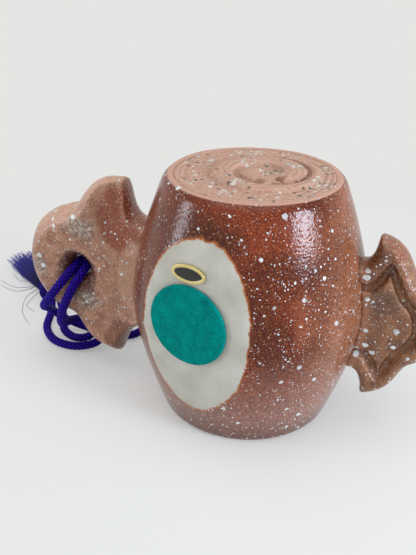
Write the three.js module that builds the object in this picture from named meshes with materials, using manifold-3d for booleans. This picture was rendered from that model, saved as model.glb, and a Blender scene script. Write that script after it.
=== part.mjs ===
// A stoneware ornament in the shape of a lucky mallet, stood on one end of its barrel.
// The handle points along -X, the tail along +X, and the display foot looks to -Y.
// Sizes are in millimetres, +Z is up, and the origin is where the barrel's axis meets the ground.
import * as THREE from 'three';
import { mergeVertices } from 'three/addons/utils/BufferGeometryUtils.js';
import Module from 'manifold-3d';

const wasm = await Module();
wasm.setup();

// Clearances
const LUTE_GAP = 0.3; // between clay pieces joined with slip
const GLUE_GAP = 0.3; // under the felt and the label
const KNOT_GAP = 0.3; // between the cord, the tassel's head and its fringe
const GROUND_GAP = 0.2; // under the tassel

// Barrel, a thrown hollow body closed by a disc at each end
const BARREL_HEIGHT = 82.4;
const BARREL_MID_RADIUS = 39;
const BARREL_END_RADIUS = 28.2;
const BARREL_SWELL = 1.55; // power of the side's curve: 1 is two cones, 2 a parabola
const BARREL_WALL = 6;
const RIM_ROUNDING = 2;
const RIM_WIDTH = 2.6; // clay left round each end disc
const LEDGE_WIDTH = 3; // step inside the mouth that each end disc sits against
const END_DISC_THICKNESS = 7;
const END_DISC_CHAMFER = 0.4;

// Coiled snake in low relief on the upper end, a little off the axis
const SNAKE_X = 3.5;
const SNAKE_Y = 0.7;
const SNAKE_RADIUS = 17.4; // outside of its outer turn
const SNAKE_WIDTH = 8;
const SNAKE_HEIGHT = 1.2;
const SNAKE_PITCH = 9.2; // from one turn to the next
const SNAKE_TURNS = 1.9;
const SNAKE_INNER_RADIUS = 3.2; // middle of the body at the nose
const SNAKE_BEARING = 144; // degrees, where the nose lies
const SNAKE_NOSE_WIDTH = 3.4;
const SNAKE_HEAD_WIDTH = 7.2;
const SNAKE_NECK_WIDTH = 6;
const SNAKE_HEAD_LENGTH = 10;
const SNAKE_TAIL_LENGTH = 70; // stretch over which the body thins out
const SNAKE_TAIL_WIDTH = 1.4;

// Display foot, a flat on the side of the barrel
const FOOT_BEARING = 10.6; // degrees, from -Y towards -X
const FOOT_DISTANCE = 34.2; // from the barrel's axis
const VENT_RADIUS = 3; // lets the hollow breathe in the kiln, and the felt covers it
const FELT_SIDE = -2.2; // from the middle of the foot
const FELT_HEIGHT = 44; // above the ground
const FELT_RADIUS = 13.3;
const FELT_THICKNESS = 1.2;
const LABEL_LENGTH = 11.6;
const LABEL_WIDTH = 5.9;
const LABEL_THICKNESS = 0.6;
const LABEL_TO_FELT = 0.5;

// Side plaques: the handle and the tail, measured outwards from the barrel's side
const PLAQUE_HEIGHT = 40.6; // their middle, above the ground
const PLAQUE_ROOT = 14; // how far their clay is drawn inwards before it is trimmed to the barrel
const NECK_RISE = 18; // half the height of the neck that meets the barrel

// Handle
const HANDLE_REACH = 45.2;
const HANDLE_THICKNESS = 14;
const HANDLE_EDGE = 7.5; // width of its rounded edge
const HANDLE_HORN_RISE = 33.6;
const HANDLE_UPPER_HORN_REACH = 9.6;
const HANDLE_LOWER_HORN_REACH = 12;
const HANDLE_UPPER_HORN_BULGE = 1; // how far a horn's outer side swells
const HANDLE_LOWER_HORN_BULGE = 3.4;
const HANDLE_UPPER_HORN_FACE = 7; // a horn's side towards the barrel, just past its tip
const HANDLE_LOWER_HORN_FACE = 10.6;
const HANDLE_UPPER_HORN_FOOT = 3.6; // and where it bends into the neck
const HANDLE_LOWER_HORN_FOOT = 6.6;
const HANDLE_HORN_EDGE = 3.5; // width of the rounding on that side
const HANDLE_NOTCH_REACH = 26.4;
const HANDLE_NOTCH_RISE = 22.3;
const HOLE_REACH = 23; // middle of the cord hole and of the round lobe
const HOLE_RADIUS = 3.9;
const FUNNEL_RADIUS = 8.4;
const FUNNEL_DEPTH = 5;
const FUNNEL_LIP = 2;

// Dish scooped out of each face of each horn
const SCOOP_REACH = 8; // its middle
const SCOOP_RISE = 19;
const SCOOP_TURN = 35; // degrees, how far its length leans outwards
const SCOOP_HALF_LENGTH = 12.5;
const SCOOP_HALF_WIDTH = 6.5;
const SCOOP_UPPER_DEPTH = 2.6;
const SCOOP_LOWER_DEPTH = 1.2;
const SCOOP_BALL = 7; // half the thickness of the ball that scoops it out

// Tail
const TAIL_REACH = 24;
const TAIL_LOBE_REACH = 6; // middle of its round lobe
const TAIL_THICKNESS = 11.6;
const TAIL_EDGE = 3.8;
const TAIL_HORN_REACH = 4.2;
const TAIL_HORN_RISE = 27.8;
const TAIL_HORN_BULGE = 2.8;
const TAIL_HORN_FACE = 2.4;
const TAIL_HORN_FOOT = 1;
const TAIL_HORN_EDGE = 3;
const TAIL_NOTCH_REACH = 15.3;
const TAIL_NOTCH_RISE = 15.2;

// Raised trefoil panel on each face of the tail, with a groove round it
const TREFOIL_LOBE_REACH = 5.5; // middle of its round lobe
const TREFOIL_LOBE_RADIUS = 9.8;
const TREFOIL_LOBE_SWEEP = 50; // degrees, either way from the tail's end
const TREFOIL_FLARE = 3.5; // how far the lobe's curve is led on towards a cusp
const TREFOIL_CUSP_REACH = 6.6;
const TREFOIL_CUSP_RISE = 17.6;
const TREFOIL_CUSP_HOOK = 2.4; // how far a cusp hooks outwards
const TREFOIL_NECK_RISE = 10.2;
const TREFOIL_SINK = 0.4; // panel below the rim
const GROOVE_WIDTH = 3;
const GROOVE_FLOOR = 0.6;
const GROOVE_DEPTH = 2.8;

// Cord and tassel
const CORD_DIAMETER = 3;
const CORD_SPACING = 3.5; // between the two strands where they lie side by side
const TASSEL_X = -97;
const TASSEL_Y = 29.5;
const TASSEL_BEARING = 140.1; // degrees, the way its fringe points
const TASSEL_HEAD_RADIUS = 4.4;
const TASSEL_HEAD_LENGTH = 7.5;
const TASSEL_SWELL_START = 2.6; // its widest stretch, from where the cord goes in
const TASSEL_SWELL_END = 5.2;
const TASSEL_NECK_RADIUS = 3.4;
const TASSEL_NECK_LENGTH = 3;
const FRINGE_LENGTH = 37;
const FRINGE_HALF_WIDTH = 6.4;
const FRINGE_HALF_HEIGHT = 3.4;

// Facets
const BARREL_SIDES = 56;
const BARREL_BANDS = 12;
const OUTLINE_POINTS = 84;
const SNAKE_STEPS = 56;
const BALL_SIDES = 28;
const PANEL_CURVE_POINTS = 8;
const HORN_CURVE_POINTS = 14;
const GROOVE_BANDS = 3;
const VENT_SIDES = 16;
const LABEL_SIDES = 32;
const CORD_SIDES = 8;
const CORD_STEPS = 76;
const FRINGE_SIDES = 20;
const FRINGE_STEPS = 8;

const overshoot = 1; // how far a cut runs past the clay
const blockSize = 4 * BARREL_MID_RADIUS; // of a block that takes away everything on one side
const deg = THREE.MathUtils.degToRad;
const quarterTurn = [0, 22.5, 45, 67.5, 90].map(deg);
const halfTurn = [180, 150, 120, 90, 60, 30, 0].map(deg);

const glazedClay = new THREE.MeshStandardMaterial({ color: 0x8a4a32, roughness: 0.3, metalness: 0 });
const dryClay = new THREE.MeshStandardMaterial({ color: 0xb8836c, roughness: 0.75, metalness: 0 });
const feltCloth = new THREE.MeshStandardMaterial({ color: 0x00837a, roughness: 0.95, metalness: 0 });
const goldFoil = new THREE.MeshStandardMaterial({ color: 0xd8c67a, roughness: 0.3, metalness: 0.8 });
const purpleYarn = new THREE.MeshStandardMaterial({ color: 0x2a0f8a, roughness: 0.85, metalness: 0 });

function piece(name, geometry, material) {
  const mesh = new THREE.Mesh(geometry, material);
  mesh.name = name;
  return mesh;
}

// A closed geometry as a solid that can be joined and cut
function solid(geometry) {
  const bare = geometry.clone();
  bare.deleteAttribute('normal');
  bare.deleteAttribute('uv');
  const merged = mergeVertices(bare, 1e-4);
  const corners = merged.index.array;
  const triangles = [];
  for (let i = 0; i < corners.length; i += 3) {
    const [a, b, c] = corners.slice(i, i + 3);
    if (a !== b && b !== c && c !== a) triangles.push(a, b, c);
  }
  return new wasm.Manifold(new wasm.Mesh({
    numProp: 3,
    vertProperties: new Float32Array(merged.attributes.position.array),
    triVerts: new Uint32Array(triangles),
  }));
}

function geometryOf(body) {
  const mesh = body.getMesh();
  const geometry = new THREE.BufferGeometry();
  geometry.setAttribute('position', new THREE.BufferAttribute(new Float32Array(mesh.vertProperties), 3));
  geometry.setIndex(new THREE.BufferAttribute(new Uint32Array(mesh.triVerts), 1));
  geometry.computeVertexNormals();
  return geometry;
}

// A profile of [radius, height] pairs, from the bottom up, turned about Z
function turned(profile, sides = BARREL_SIDES) {
  const points = profile.map(([radius, height]) => new THREE.Vector2(radius, height));
  return new THREE.LatheGeometry(points, sides).rotateX(Math.PI / 2);
}

// Rings of as many points each, joined one to the next: a loop of rings, or a run with closed ends
function loft(rings, looped) {
  const count = rings[0].length;
  const points = rings.flat();
  const corners = [];
  const bands = looped ? rings.length : rings.length - 1;
  for (let k = 0; k < bands; k++) {
    const low = k * count;
    const high = ((k + 1) % rings.length) * count;
    for (let i = 0; i < count; i++) {
      const j = (i + 1) % count;
      corners.push(low + i, low + j, high + j, low + i, high + j, high + i);
    }
  }
  if (!looped) {
    const lastRing = (rings.length - 1) * count;
    const middleOf = (ring) => ring.reduce((sum, p) => sum.add(p), new THREE.Vector3()).divideScalar(count);
    const firstHub = points.push(middleOf(rings[0])) - 1;
    const lastHub = points.push(middleOf(rings.at(-1))) - 1;
    for (let i = 0; i < count; i++) {
      const j = (i + 1) % count;
      corners.push(firstHub, j, i, lastHub, lastRing + i, lastRing + j);
    }
  }
  const geometry = new THREE.BufferGeometry().setFromPoints(points);
  geometry.setIndex(corners);
  geometry.computeVertexNormals();
  return geometry;
}

// Barrel

const MOUTH_RADIUS = BARREL_END_RADIUS - RIM_WIDTH;
const MOUTH_DEPTH = END_DISC_THICKNESS + LUTE_GAP;
const THROAT_RADIUS = MOUTH_RADIUS - LEDGE_WIDTH;

function barrelRadius(height) {
  const fromMiddle = Math.abs((2 * height) / BARREL_HEIGHT - 1);
  return BARREL_MID_RADIUS - (BARREL_MID_RADIUS - BARREL_END_RADIUS) * fromMiddle ** BARREL_SWELL;
}

// The barrel's outer skin as one full solid, grown sideways by a margin
function barrelSkin(margin) {
  const edge = barrelRadius(RIM_ROUNDING) + margin - RIM_ROUNDING;
  const side = BARREL_HEIGHT - 2 * RIM_ROUNDING;
  const lower = quarterTurn.map((a) => [
    edge + RIM_ROUNDING * Math.sin(a),
    RIM_ROUNDING * (1 - Math.cos(a)),
  ]);
  const upper = lower.map(([radius, height]) => [radius, BARREL_HEIGHT - height]).reverse();
  const belly = [];
  for (let k = 1; k < BARREL_BANDS; k++) {
    const height = RIM_ROUNDING + (side * k) / BARREL_BANDS;
    belly.push([barrelRadius(height) + margin, height]);
  }
  return solid(turned([[0, 0], ...lower, ...belly, ...upper, [0, BARREL_HEIGHT]]));
}

// The hollow inside, with an open throat at each end
function barrelHollow() {
  const inside = BARREL_HEIGHT - 2 * MOUTH_DEPTH;
  const wall = [];
  for (let k = 1; k < BARREL_BANDS; k++) {
    const height = MOUTH_DEPTH + (inside * k) / BARREL_BANDS;
    wall.push([barrelRadius(height) - BARREL_WALL, height]);
  }
  return solid(turned([
    [0, -overshoot],
    [THROAT_RADIUS, -overshoot],
    [THROAT_RADIUS, MOUTH_DEPTH],
    ...wall,
    [THROAT_RADIUS, BARREL_HEIGHT - MOUTH_DEPTH],
    [THROAT_RADIUS, BARREL_HEIGHT + overshoot],
    [0, BARREL_HEIGHT + overshoot],
  ]));
}

// Everything further out than a plane that lies parallel to the foot
function beyondFoot(distance) {
  const block = new THREE.BoxGeometry(blockSize, blockSize, blockSize);
  block.translate(0, -distance - blockSize / 2, BARREL_HEIGHT / 2);
  return solid(block.rotateZ(-deg(FOOT_BEARING)));
}

function endMouth(from, to) {
  return solid(turned([[0, from], [MOUTH_RADIUS, from], [MOUTH_RADIUS, to], [0, to]]));
}

function ventHole() {
  const hole = new THREE.CylinderGeometry(VENT_RADIUS, VENT_RADIUS, 2 * BARREL_WALL, VENT_SIDES);
  hole.translate(FELT_SIDE, -FOOT_DISTANCE + BARREL_WALL / 2, FELT_HEIGHT);
  return solid(hole.rotateZ(-deg(FOOT_BEARING)));
}

function barrelShell() {
  const hollow = barrelHollow().subtract(beyondFoot(FOOT_DISTANCE - BARREL_WALL));
  const shell = barrelSkin(0)
    .subtract(beyondFoot(FOOT_DISTANCE))
    .subtract(hollow)
    .subtract(endMouth(-overshoot, MOUTH_DEPTH))
    .subtract(endMouth(BARREL_HEIGHT - MOUTH_DEPTH, BARREL_HEIGHT + overshoot))
    .subtract(ventHole());
  return piece('barrel_shell', geometryOf(shell), glazedClay);
}

// A disc with its outer face at height 0 and its thickness below
function endDisc() {
  const radius = MOUTH_RADIUS - LUTE_GAP;
  return turned([
    [0, -END_DISC_THICKNESS],
    [radius, -END_DISC_THICKNESS],
    [radius, -END_DISC_CHAMFER],
    [radius - END_DISC_CHAMFER, 0],
    [0, 0],
  ]);
}

function upperEndDisc() {
  const disc = piece('upper_end_disc', endDisc(), dryClay);
  disc.position.z = BARREL_HEIGHT;
  return disc;
}

function lowerEndDisc() {
  const disc = piece('lower_end_disc', endDisc(), dryClay);
  disc.rotation.x = Math.PI;
  return disc;
}

// Width of the snake at a distance from its nose: blunt nose, wide head, neck, body, thin tail
function snakeWidth(fromNose, length) {
  const { lerp, smoothstep } = THREE.MathUtils;
  const cheek = SNAKE_HEAD_LENGTH / 2;
  if (fromNose < cheek) {
    return lerp(SNAKE_NOSE_WIDTH, SNAKE_HEAD_WIDTH, smoothstep(fromNose, 0, cheek));
  }
  if (fromNose < SNAKE_HEAD_LENGTH) {
    return lerp(SNAKE_HEAD_WIDTH, SNAKE_NECK_WIDTH, smoothstep(fromNose, cheek, SNAKE_HEAD_LENGTH));
  }
  const filling = smoothstep(fromNose, SNAKE_HEAD_LENGTH, 2 * SNAKE_HEAD_LENGTH);
  const body = lerp(SNAKE_NECK_WIDTH, SNAKE_WIDTH, filling);
  return lerp(SNAKE_TAIL_WIDTH, body, Math.min(1, (length - fromNose) / SNAKE_TAIL_LENGTH));
}

// A snake in low relief, coiled outwards from its head until its tail follows the outer edge
function snakeRelief() {
  const sweep = SNAKE_TURNS * 2 * Math.PI;
  const widest = SNAKE_RADIUS - SNAKE_WIDTH / 2;
  const coilRadius = (turn) => SNAKE_INNER_RADIUS + (SNAKE_PITCH * turn) / (2 * Math.PI);
  const places = [];
  let fromNose = 0;
  for (let k = 0; k <= SNAKE_STEPS; k++) {
    const turn = (sweep * k) / SNAKE_STEPS;
    if (k > 0) fromNose += (Math.min(coilRadius(turn), widest) * sweep) / SNAKE_STEPS;
    places.push({ turn, fromNose });
  }
  const rings = places.map(({ turn, fromNose: run }) => {
    const width = snakeWidth(run, fromNose);
    const radius = Math.min(coilRadius(turn), SNAKE_RADIUS - width / 2);
    const height = SNAKE_HEIGHT * Math.sqrt(width / SNAKE_WIDTH);
    return halfTurn.map((a) => {
      const reach = radius + (width / 2) * Math.cos(a);
      return new THREE.Vector3(reach * Math.cos(turn), reach * Math.sin(turn), height * Math.sin(a));
    });
  });
  const snake = piece('snake_relief', loft(rings, false), dryClay);
  snake.position.set(SNAKE_X, SNAKE_Y, BARREL_HEIGHT + LUTE_GAP);
  snake.rotation.z = deg(SNAKE_BEARING);
  return snake;
}

// Trimmings on the display foot

function footTrimmings() {
  const foot = new THREE.Group();
  foot.rotation.z = -deg(FOOT_BEARING);
  const seat = -FOOT_DISTANCE - GLUE_GAP;

  const disc = new THREE.CylinderGeometry(FELT_RADIUS, FELT_RADIUS, FELT_THICKNESS, BARREL_SIDES);
  const felt = piece('felt_foot_pad', disc, feltCloth);
  felt.position.set(FELT_SIDE, seat - FELT_THICKNESS / 2, FELT_HEIGHT);

  const oval = new THREE.Shape().absellipse(0, 0, LABEL_LENGTH / 2, LABEL_WIDTH / 2, 0, 2 * Math.PI);
  const leaf = new THREE.ExtrudeGeometry(oval, {
    depth: LABEL_THICKNESS,
    bevelEnabled: false,
    curveSegments: LABEL_SIDES,
  });
  const label = piece('foil_label', leaf.rotateX(Math.PI / 2), goldFoil);
  label.position.set(FELT_SIDE, seat, FELT_HEIGHT + FELT_RADIUS + LABEL_TO_FELT + LABEL_WIDTH / 2);

  return foot.add(felt, label);
}

// Side plaques, laid out along +X with the rise along Z

const lobeShares = [0.75, 0.45, 0.15]; // places on the round lobe, as shares of the way to the notch

// One half of an outline, from the root over the horn and the notch to the round lobe at the end
function halfOutline({ lobeReach, reach, hornReach, hornRise, hornBulge, notchReach, notchRise }) {
  const radius = reach - lobeReach;
  const notchAngle = Math.atan2(notchRise, notchReach - lobeReach);
  const lobe = lobeShares.map((share) => [
    lobeReach + radius * Math.cos(share * notchAngle),
    radius * Math.sin(share * notchAngle),
  ]);
  return [
    [-PLAQUE_ROOT, hornRise],
    [hornReach, hornRise],
    [(hornReach + notchReach) / 2, (hornRise + notchRise) / 2 + hornBulge],
    [notchReach, notchRise],
    ...lobe,
  ];
}

function plaqueOutline(upper, lower) {
  const below = halfOutline(lower).map(([x, rise]) => [x, -rise]).reverse();
  const points = [...halfOutline(upper), ...below].map(([x, rise]) => new THREE.Vector3(x, 0, rise));
  const curve = new THREE.CatmullRomCurve3(points, true, 'centripetal');
  return curve.getSpacedPoints(OUTLINE_POINTS).slice(0, -1);
}

// Rings inside an outline: drawn in from it by an inset, or round about the middle of the lobe
function ringsInside(outline, lobeReach) {
  const hub = new THREE.Vector3(lobeReach, 0, 0);
  const ring = (y, radiusOf) => outline.map((p) => {
    const spoke = p.clone().sub(hub);
    return spoke.setLength(radiusOf(spoke.length())).add(hub).setY(y);
  });
  return {
    inset: (amount, y) => ring(y, (radius) => radius - amount),
    round: (radius, y) => ring(y, () => radius),
  };
}

// What is cut away between a horn and the barrel, above or below the neck. It widens towards both
// faces, which leaves the clay rounded.
function hornCut({ hornRise, hornFace, hornFoot, hornEdge, thickness }, side) {
  const past = hornRise + hornEdge + overshoot;
  const inner = -PLAQUE_ROOT - overshoot;
  const curve = new THREE.CubicBezierCurve(
    new THREE.Vector2(hornFace, past),
    new THREE.Vector2(hornFoot, (hornRise + NECK_RISE) / 2),
    new THREE.Vector2(hornFoot, NECK_RISE),
    new THREE.Vector2(inner, NECK_RISE),
  );
  const ring = (grown, y) => {
    const points = [new THREE.Vector3(inner, y, side * (past + hornEdge))];
    for (let k = 0; k <= HORN_CURVE_POINTS; k++) {
      const place = curve.getPointAt(k / HORN_CURVE_POINTS);
      const run = curve.getTangentAt(k / HORN_CURVE_POINTS);
      points.push(new THREE.Vector3(place.x - grown * run.y, y, side * (place.y + grown * run.x)));
    }
    return points;
  };
  const half = thickness / 2;
  const front = quarterTurn.slice(1).map((a) => ring(hornEdge * (1 - Math.cos(a)), -half * Math.sin(a)));
  const back = quarterTurn.slice(1).map((a) => ring(hornEdge * (1 - Math.cos(a)), half * Math.sin(a)));
  const rings = [
    ring(hornEdge, -half - overshoot),
    ...front.reverse(),
    ring(0, 0),
    ...back,
    ring(hornEdge, half + overshoot),
  ];
  return solid(loft(side > 0 ? rings : rings.reverse(), false));
}

// A plaque with its horns cut free, moved to the barrel's side and trimmed to its skin
function trimmedPlaque(body, upper, lower, turn) {
  const cut = body.subtract(hornCut(upper, 1)).subtract(hornCut(lower, -1));
  const placed = geometryOf(cut).translate(BARREL_MID_RADIUS, 0, PLAQUE_HEIGHT).rotateZ(turn);
  return geometryOf(solid(placed).subtract(barrelSkin(LUTE_GAP)));
}

// The stretched ball that scoops a dish out of a horn's face
function scoopBall(face, side, depth) {
  const slice = Math.sqrt(1 - (1 - depth / SCOOP_BALL) ** 2);
  const ball = new THREE.SphereGeometry(1, BALL_SIDES, BALL_SIDES / 2);
  ball.scale(SCOOP_HALF_WIDTH / slice, SCOOP_BALL, SCOOP_HALF_LENGTH / slice);
  ball.rotateY(side * deg(SCOOP_TURN));
  ball.translate(SCOOP_REACH, face * (HANDLE_THICKNESS / 2 + SCOOP_BALL - depth), side * SCOOP_RISE);
  return solid(ball);
}

function handlePlaque() {
  const half = HANDLE_THICKNESS / 2;
  const both = {
    lobeReach: HOLE_REACH,
    reach: HANDLE_REACH,
    hornRise: HANDLE_HORN_RISE,
    notchReach: HANDLE_NOTCH_REACH,
    notchRise: HANDLE_NOTCH_RISE,
    hornEdge: HANDLE_HORN_EDGE,
    thickness: HANDLE_THICKNESS,
  };
  const upper = {
    ...both,
    hornReach: HANDLE_UPPER_HORN_REACH,
    hornBulge: HANDLE_UPPER_HORN_BULGE,
    hornFace: HANDLE_UPPER_HORN_FACE,
    hornFoot: HANDLE_UPPER_HORN_FOOT,
  };
  const lower = {
    ...both,
    hornReach: HANDLE_LOWER_HORN_REACH,
    hornBulge: HANDLE_LOWER_HORN_BULGE,
    hornFace: HANDLE_LOWER_HORN_FACE,
    hornFoot: HANDLE_LOWER_HORN_FOOT,
  };
  const { inset, round } = ringsInside(plaqueOutline(upper, lower), HOLE_REACH);
  const edge = (side) => quarterTurn.slice(1)
    .map((a) => inset(HANDLE_EDGE * (1 - Math.cos(a)), side * half * Math.sin(a)));
  const funnel = (side) => quarterTurn
    .map((a) => round(
      FUNNEL_RADIUS - (FUNNEL_RADIUS - HOLE_RADIUS) * Math.sin(a),
      side * (half - FUNNEL_DEPTH * (1 - Math.cos(a))),
    ));
  const faceSide = (side) => [
    ...edge(side),
    round(FUNNEL_RADIUS + FUNNEL_LIP, side * half),
    ...funnel(side),
  ];
  let body = solid(loft([inset(0, 0), ...faceSide(1), ...faceSide(-1).reverse()], true));
  for (const face of [-1, 1]) {
    body = body
      .subtract(scoopBall(face, 1, SCOOP_UPPER_DEPTH))
      .subtract(scoopBall(face, -1, SCOOP_LOWER_DEPTH));
  }
  return piece('handle_plaque', trimmedPlaque(body, upper, lower, Math.PI), glazedClay);
}

// The panel's outline: a round lobe between two cusps, on a neck that runs in under the barrel
function trefoil() {
  const sweep = deg(TREFOIL_LOBE_SWEEP);
  const lobeX = TREFOIL_LOBE_REACH + TREFOIL_LOBE_RADIUS * Math.cos(sweep);
  const lobeRise = TREFOIL_LOBE_RADIUS * Math.sin(sweep);
  const flareX = lobeX - TREFOIL_FLARE * Math.sin(sweep);
  const flareRise = lobeRise + TREFOIL_FLARE * Math.cos(sweep);
  const hookX = TREFOIL_CUSP_REACH - TREFOIL_CUSP_HOOK;
  const shape = new THREE.Shape();
  shape.moveTo(-PLAQUE_ROOT, TREFOIL_NECK_RISE);
  shape.lineTo(0, TREFOIL_NECK_RISE);
  shape.quadraticCurveTo(hookX, TREFOIL_NECK_RISE, TREFOIL_CUSP_REACH, TREFOIL_CUSP_RISE);
  shape.quadraticCurveTo(flareX, flareRise, lobeX, lobeRise);
  shape.absarc(TREFOIL_LOBE_REACH, 0, TREFOIL_LOBE_RADIUS, sweep, -sweep, true);
  shape.quadraticCurveTo(flareX, -flareRise, TREFOIL_CUSP_REACH, -TREFOIL_CUSP_RISE);
  shape.quadraticCurveTo(hookX, -TREFOIL_NECK_RISE, 0, -TREFOIL_NECK_RISE);
  shape.lineTo(-PLAQUE_ROOT, -TREFOIL_NECK_RISE);
  return shape;
}

// The panel's shape, run through the clay along -Y
function trefoilBlock(options) {
  return new THREE.ExtrudeGeometry(trefoil(), { curveSegments: PANEL_CURVE_POINTS, ...options })
    .rotateX(Math.PI / 2);
}

// The hollow that is sunk round and under the panel, from the groove's floor to past the face at -Y
function panelSinking() {
  const sinking = trefoilBlock({
    depth: overshoot,
    bevelThickness: GROOVE_DEPTH,
    bevelSize: GROOVE_WIDTH - GROOVE_FLOOR,
    bevelOffset: GROOVE_FLOOR,
    bevelSegments: GROOVE_BANDS,
  });
  return solid(sinking.translate(0, -TAIL_THICKNESS / 2, 0));
}

// The panel itself, from the middle of the clay to just below the face at -Y
function panelIsland() {
  const depth = TAIL_THICKNESS / 2 - TREFOIL_SINK;
  return solid(trefoilBlock({ depth, bevelEnabled: false }));
}

function tailPlaque() {
  const half = TAIL_THICKNESS / 2;
  const sizes = {
    lobeReach: TAIL_LOBE_REACH,
    reach: TAIL_REACH,
    hornReach: TAIL_HORN_REACH,
    hornRise: TAIL_HORN_RISE,
    hornBulge: TAIL_HORN_BULGE,
    hornFace: TAIL_HORN_FACE,
    hornFoot: TAIL_HORN_FOOT,
    hornEdge: TAIL_HORN_EDGE,
    notchReach: TAIL_NOTCH_REACH,
    notchRise: TAIL_NOTCH_RISE,
    thickness: TAIL_THICKNESS,
  };
  const { inset } = ringsInside(plaqueOutline(sizes, sizes), TAIL_LOBE_REACH);
  const edge = (side) => quarterTurn.slice(1)
    .map((a) => inset(TAIL_EDGE * (1 - Math.cos(a)), side * half * Math.sin(a)));
  let body = solid(loft([...edge(-1).reverse(), inset(0, 0), ...edge(1)], false));
  for (const turnedOver of [0, 180]) {
    const facing = [turnedOver, 0, 0];
    body = body.subtract(panelSinking().rotate(facing)).add(panelIsland().rotate(facing));
  }
  return piece('tail_plaque', trimmedPlaque(body, sizes, sizes, 0), glazedClay);
}

// Cord and tassel

const TASSEL_AXIS_HEIGHT = TASSEL_HEAD_RADIUS + GROUND_GAP;

// From the tassel over the ground, up behind the handle and through its hole to the front; down over
// the lower edge, round on the ground behind and up again; back through the hole and to the tassel
const cordRoute = [
  [-86.9, 20.6, 2.3], [-79.6, 9.8, 1.9], [-72.4, 6.6, 2.1], [-66.8, 7.7, 3.9], [-63.4, 10.4, 12],
  [-63.7, 9.3, 34], [-63.8, 2.6, 40.4], [-64.4, -4.7, 39.8], [-67, -9, 35.7], [-72, -9.8, 29],
  [-77.2, -6.6, 22.6], [-80.8, 1, 17], [-82.8, 8.4, 10.8], [-81.2, 13.4, 5.3], [-75, 15.8, 2.1],
  [-59.2, 14.7, 1.9], [-53.6, 17, 1.8], [-51.3, 22.6, 1.8], [-53.6, 28.2, 1.9], [-59.5, 30.4, 2.1],
  [-65, 27.2, 2.7], [-68, 17.6, 6.6], [-71.2, 4, 12.2], [-70.8, -5.4, 15.6], [-67.8, -9.6, 23.2],
  [-64, -9.5, 31.8], [-60.9, -5.9, 38.4], [-60.2, 1.4, 40.5], [-60.1, 7.8, 37], [-59.4, 10.8, 26],
  [-59.2, 10.4, 10.4], [-62.4, 5.4, 3.4], [-69.4, 1, 2.1], [-79.4, 1.8, 1.9], [-87.8, 9.4, 1.8],
  [-92.2, 20, 2.7],
];

// A point on a strand beside the tassel's axis, some way before it meets the tassel's head
function strandEnd(aside, before) {
  const local = new THREE.Vector3(-KNOT_GAP - before, aside, TASSEL_AXIS_HEIGHT);
  local.applyAxisAngle(new THREE.Vector3(0, 0, 1), deg(TASSEL_BEARING));
  return local.add(new THREE.Vector3(TASSEL_X, TASSEL_Y, 0));
}

function hangingCord() {
  const aside = CORD_SPACING / 2;
  const path = new THREE.CatmullRomCurve3([
    strandEnd(-aside, 0),
    strandEnd(-aside, CORD_DIAMETER),
    ...cordRoute.map(([x, y, z]) => new THREE.Vector3(x, y, z)),
    strandEnd(aside, CORD_DIAMETER),
    strandEnd(aside, 0),
  ], false, 'centripetal');
  const section = new THREE.Shape();
  for (let k = 0; k < CORD_SIDES; k++) {
    const a = (2 * Math.PI * k) / CORD_SIDES;
    const corner = [(CORD_DIAMETER / 2) * Math.cos(a), (CORD_DIAMETER / 2) * Math.sin(a)];
    if (k === 0) section.moveTo(...corner);
    else section.lineTo(...corner);
  }
  const tube = new THREE.ExtrudeGeometry(section, {
    steps: CORD_STEPS,
    extrudePath: path,
    bevelEnabled: false,
  });
  return piece('hanging_cord', tube, purpleYarn);
}

function tassel() {
  const group = new THREE.Group();
  group.position.set(TASSEL_X, TASSEL_Y, 0);
  group.rotation.z = deg(TASSEL_BEARING);

  const headEnd = TASSEL_HEAD_LENGTH + TASSEL_NECK_LENGTH;
  const knob = turned([
    [0, 0],
    [CORD_SPACING / 2 + CORD_DIAMETER / 2, 0],
    [TASSEL_HEAD_RADIUS, TASSEL_SWELL_START],
    [TASSEL_HEAD_RADIUS, TASSEL_SWELL_END],
    [TASSEL_NECK_RADIUS, TASSEL_HEAD_LENGTH],
    [TASSEL_NECK_RADIUS, headEnd],
    [0, headEnd],
  ], FRINGE_SIDES);
  const head = piece('tassel_head', geometryOf(solid(knob.rotateY(Math.PI / 2))), purpleYarn);
  head.position.z = TASSEL_AXIS_HEIGHT;

  const rings = [];
  for (let k = 0; k <= FRINGE_STEPS; k++) {
    const along = k / FRINGE_STEPS;
    const spread = Math.sin((along * Math.PI) / 2);
    const halfWidth = THREE.MathUtils.lerp(TASSEL_NECK_RADIUS, FRINGE_HALF_WIDTH, spread);
    const halfHeight = THREE.MathUtils.lerp(TASSEL_NECK_RADIUS, FRINGE_HALF_HEIGHT, spread);
    const middle = THREE.MathUtils.lerp(TASSEL_AXIS_HEIGHT, FRINGE_HALF_HEIGHT + GROUND_GAP, spread);
    const ring = [];
    for (let i = 0; i < FRINGE_SIDES; i++) {
      const a = (2 * Math.PI * i) / FRINGE_SIDES;
      const x = headEnd + KNOT_GAP + FRINGE_LENGTH * along;
      ring.push(new THREE.Vector3(x, halfWidth * Math.cos(a), middle + halfHeight * Math.sin(a)));
    }
    rings.push(ring);
  }
  const fringe = piece('tassel_fringe', loft(rings, false), purpleYarn);

  return group.add(head, fringe);
}

const ornament = new THREE.Group();
ornament.add(barrelShell(), upperEndDisc(), lowerEndDisc(), snakeRelief());
ornament.add(handlePlaque(), tailPlaque());
ornament.add(footTrimmings());
ornament.add(hangingCord(), tassel());

export default ornament;
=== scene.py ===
import math
import random

import bpy
from mathutils import Matrix, Vector
from mathutils.kdtree import KDTree


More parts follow.
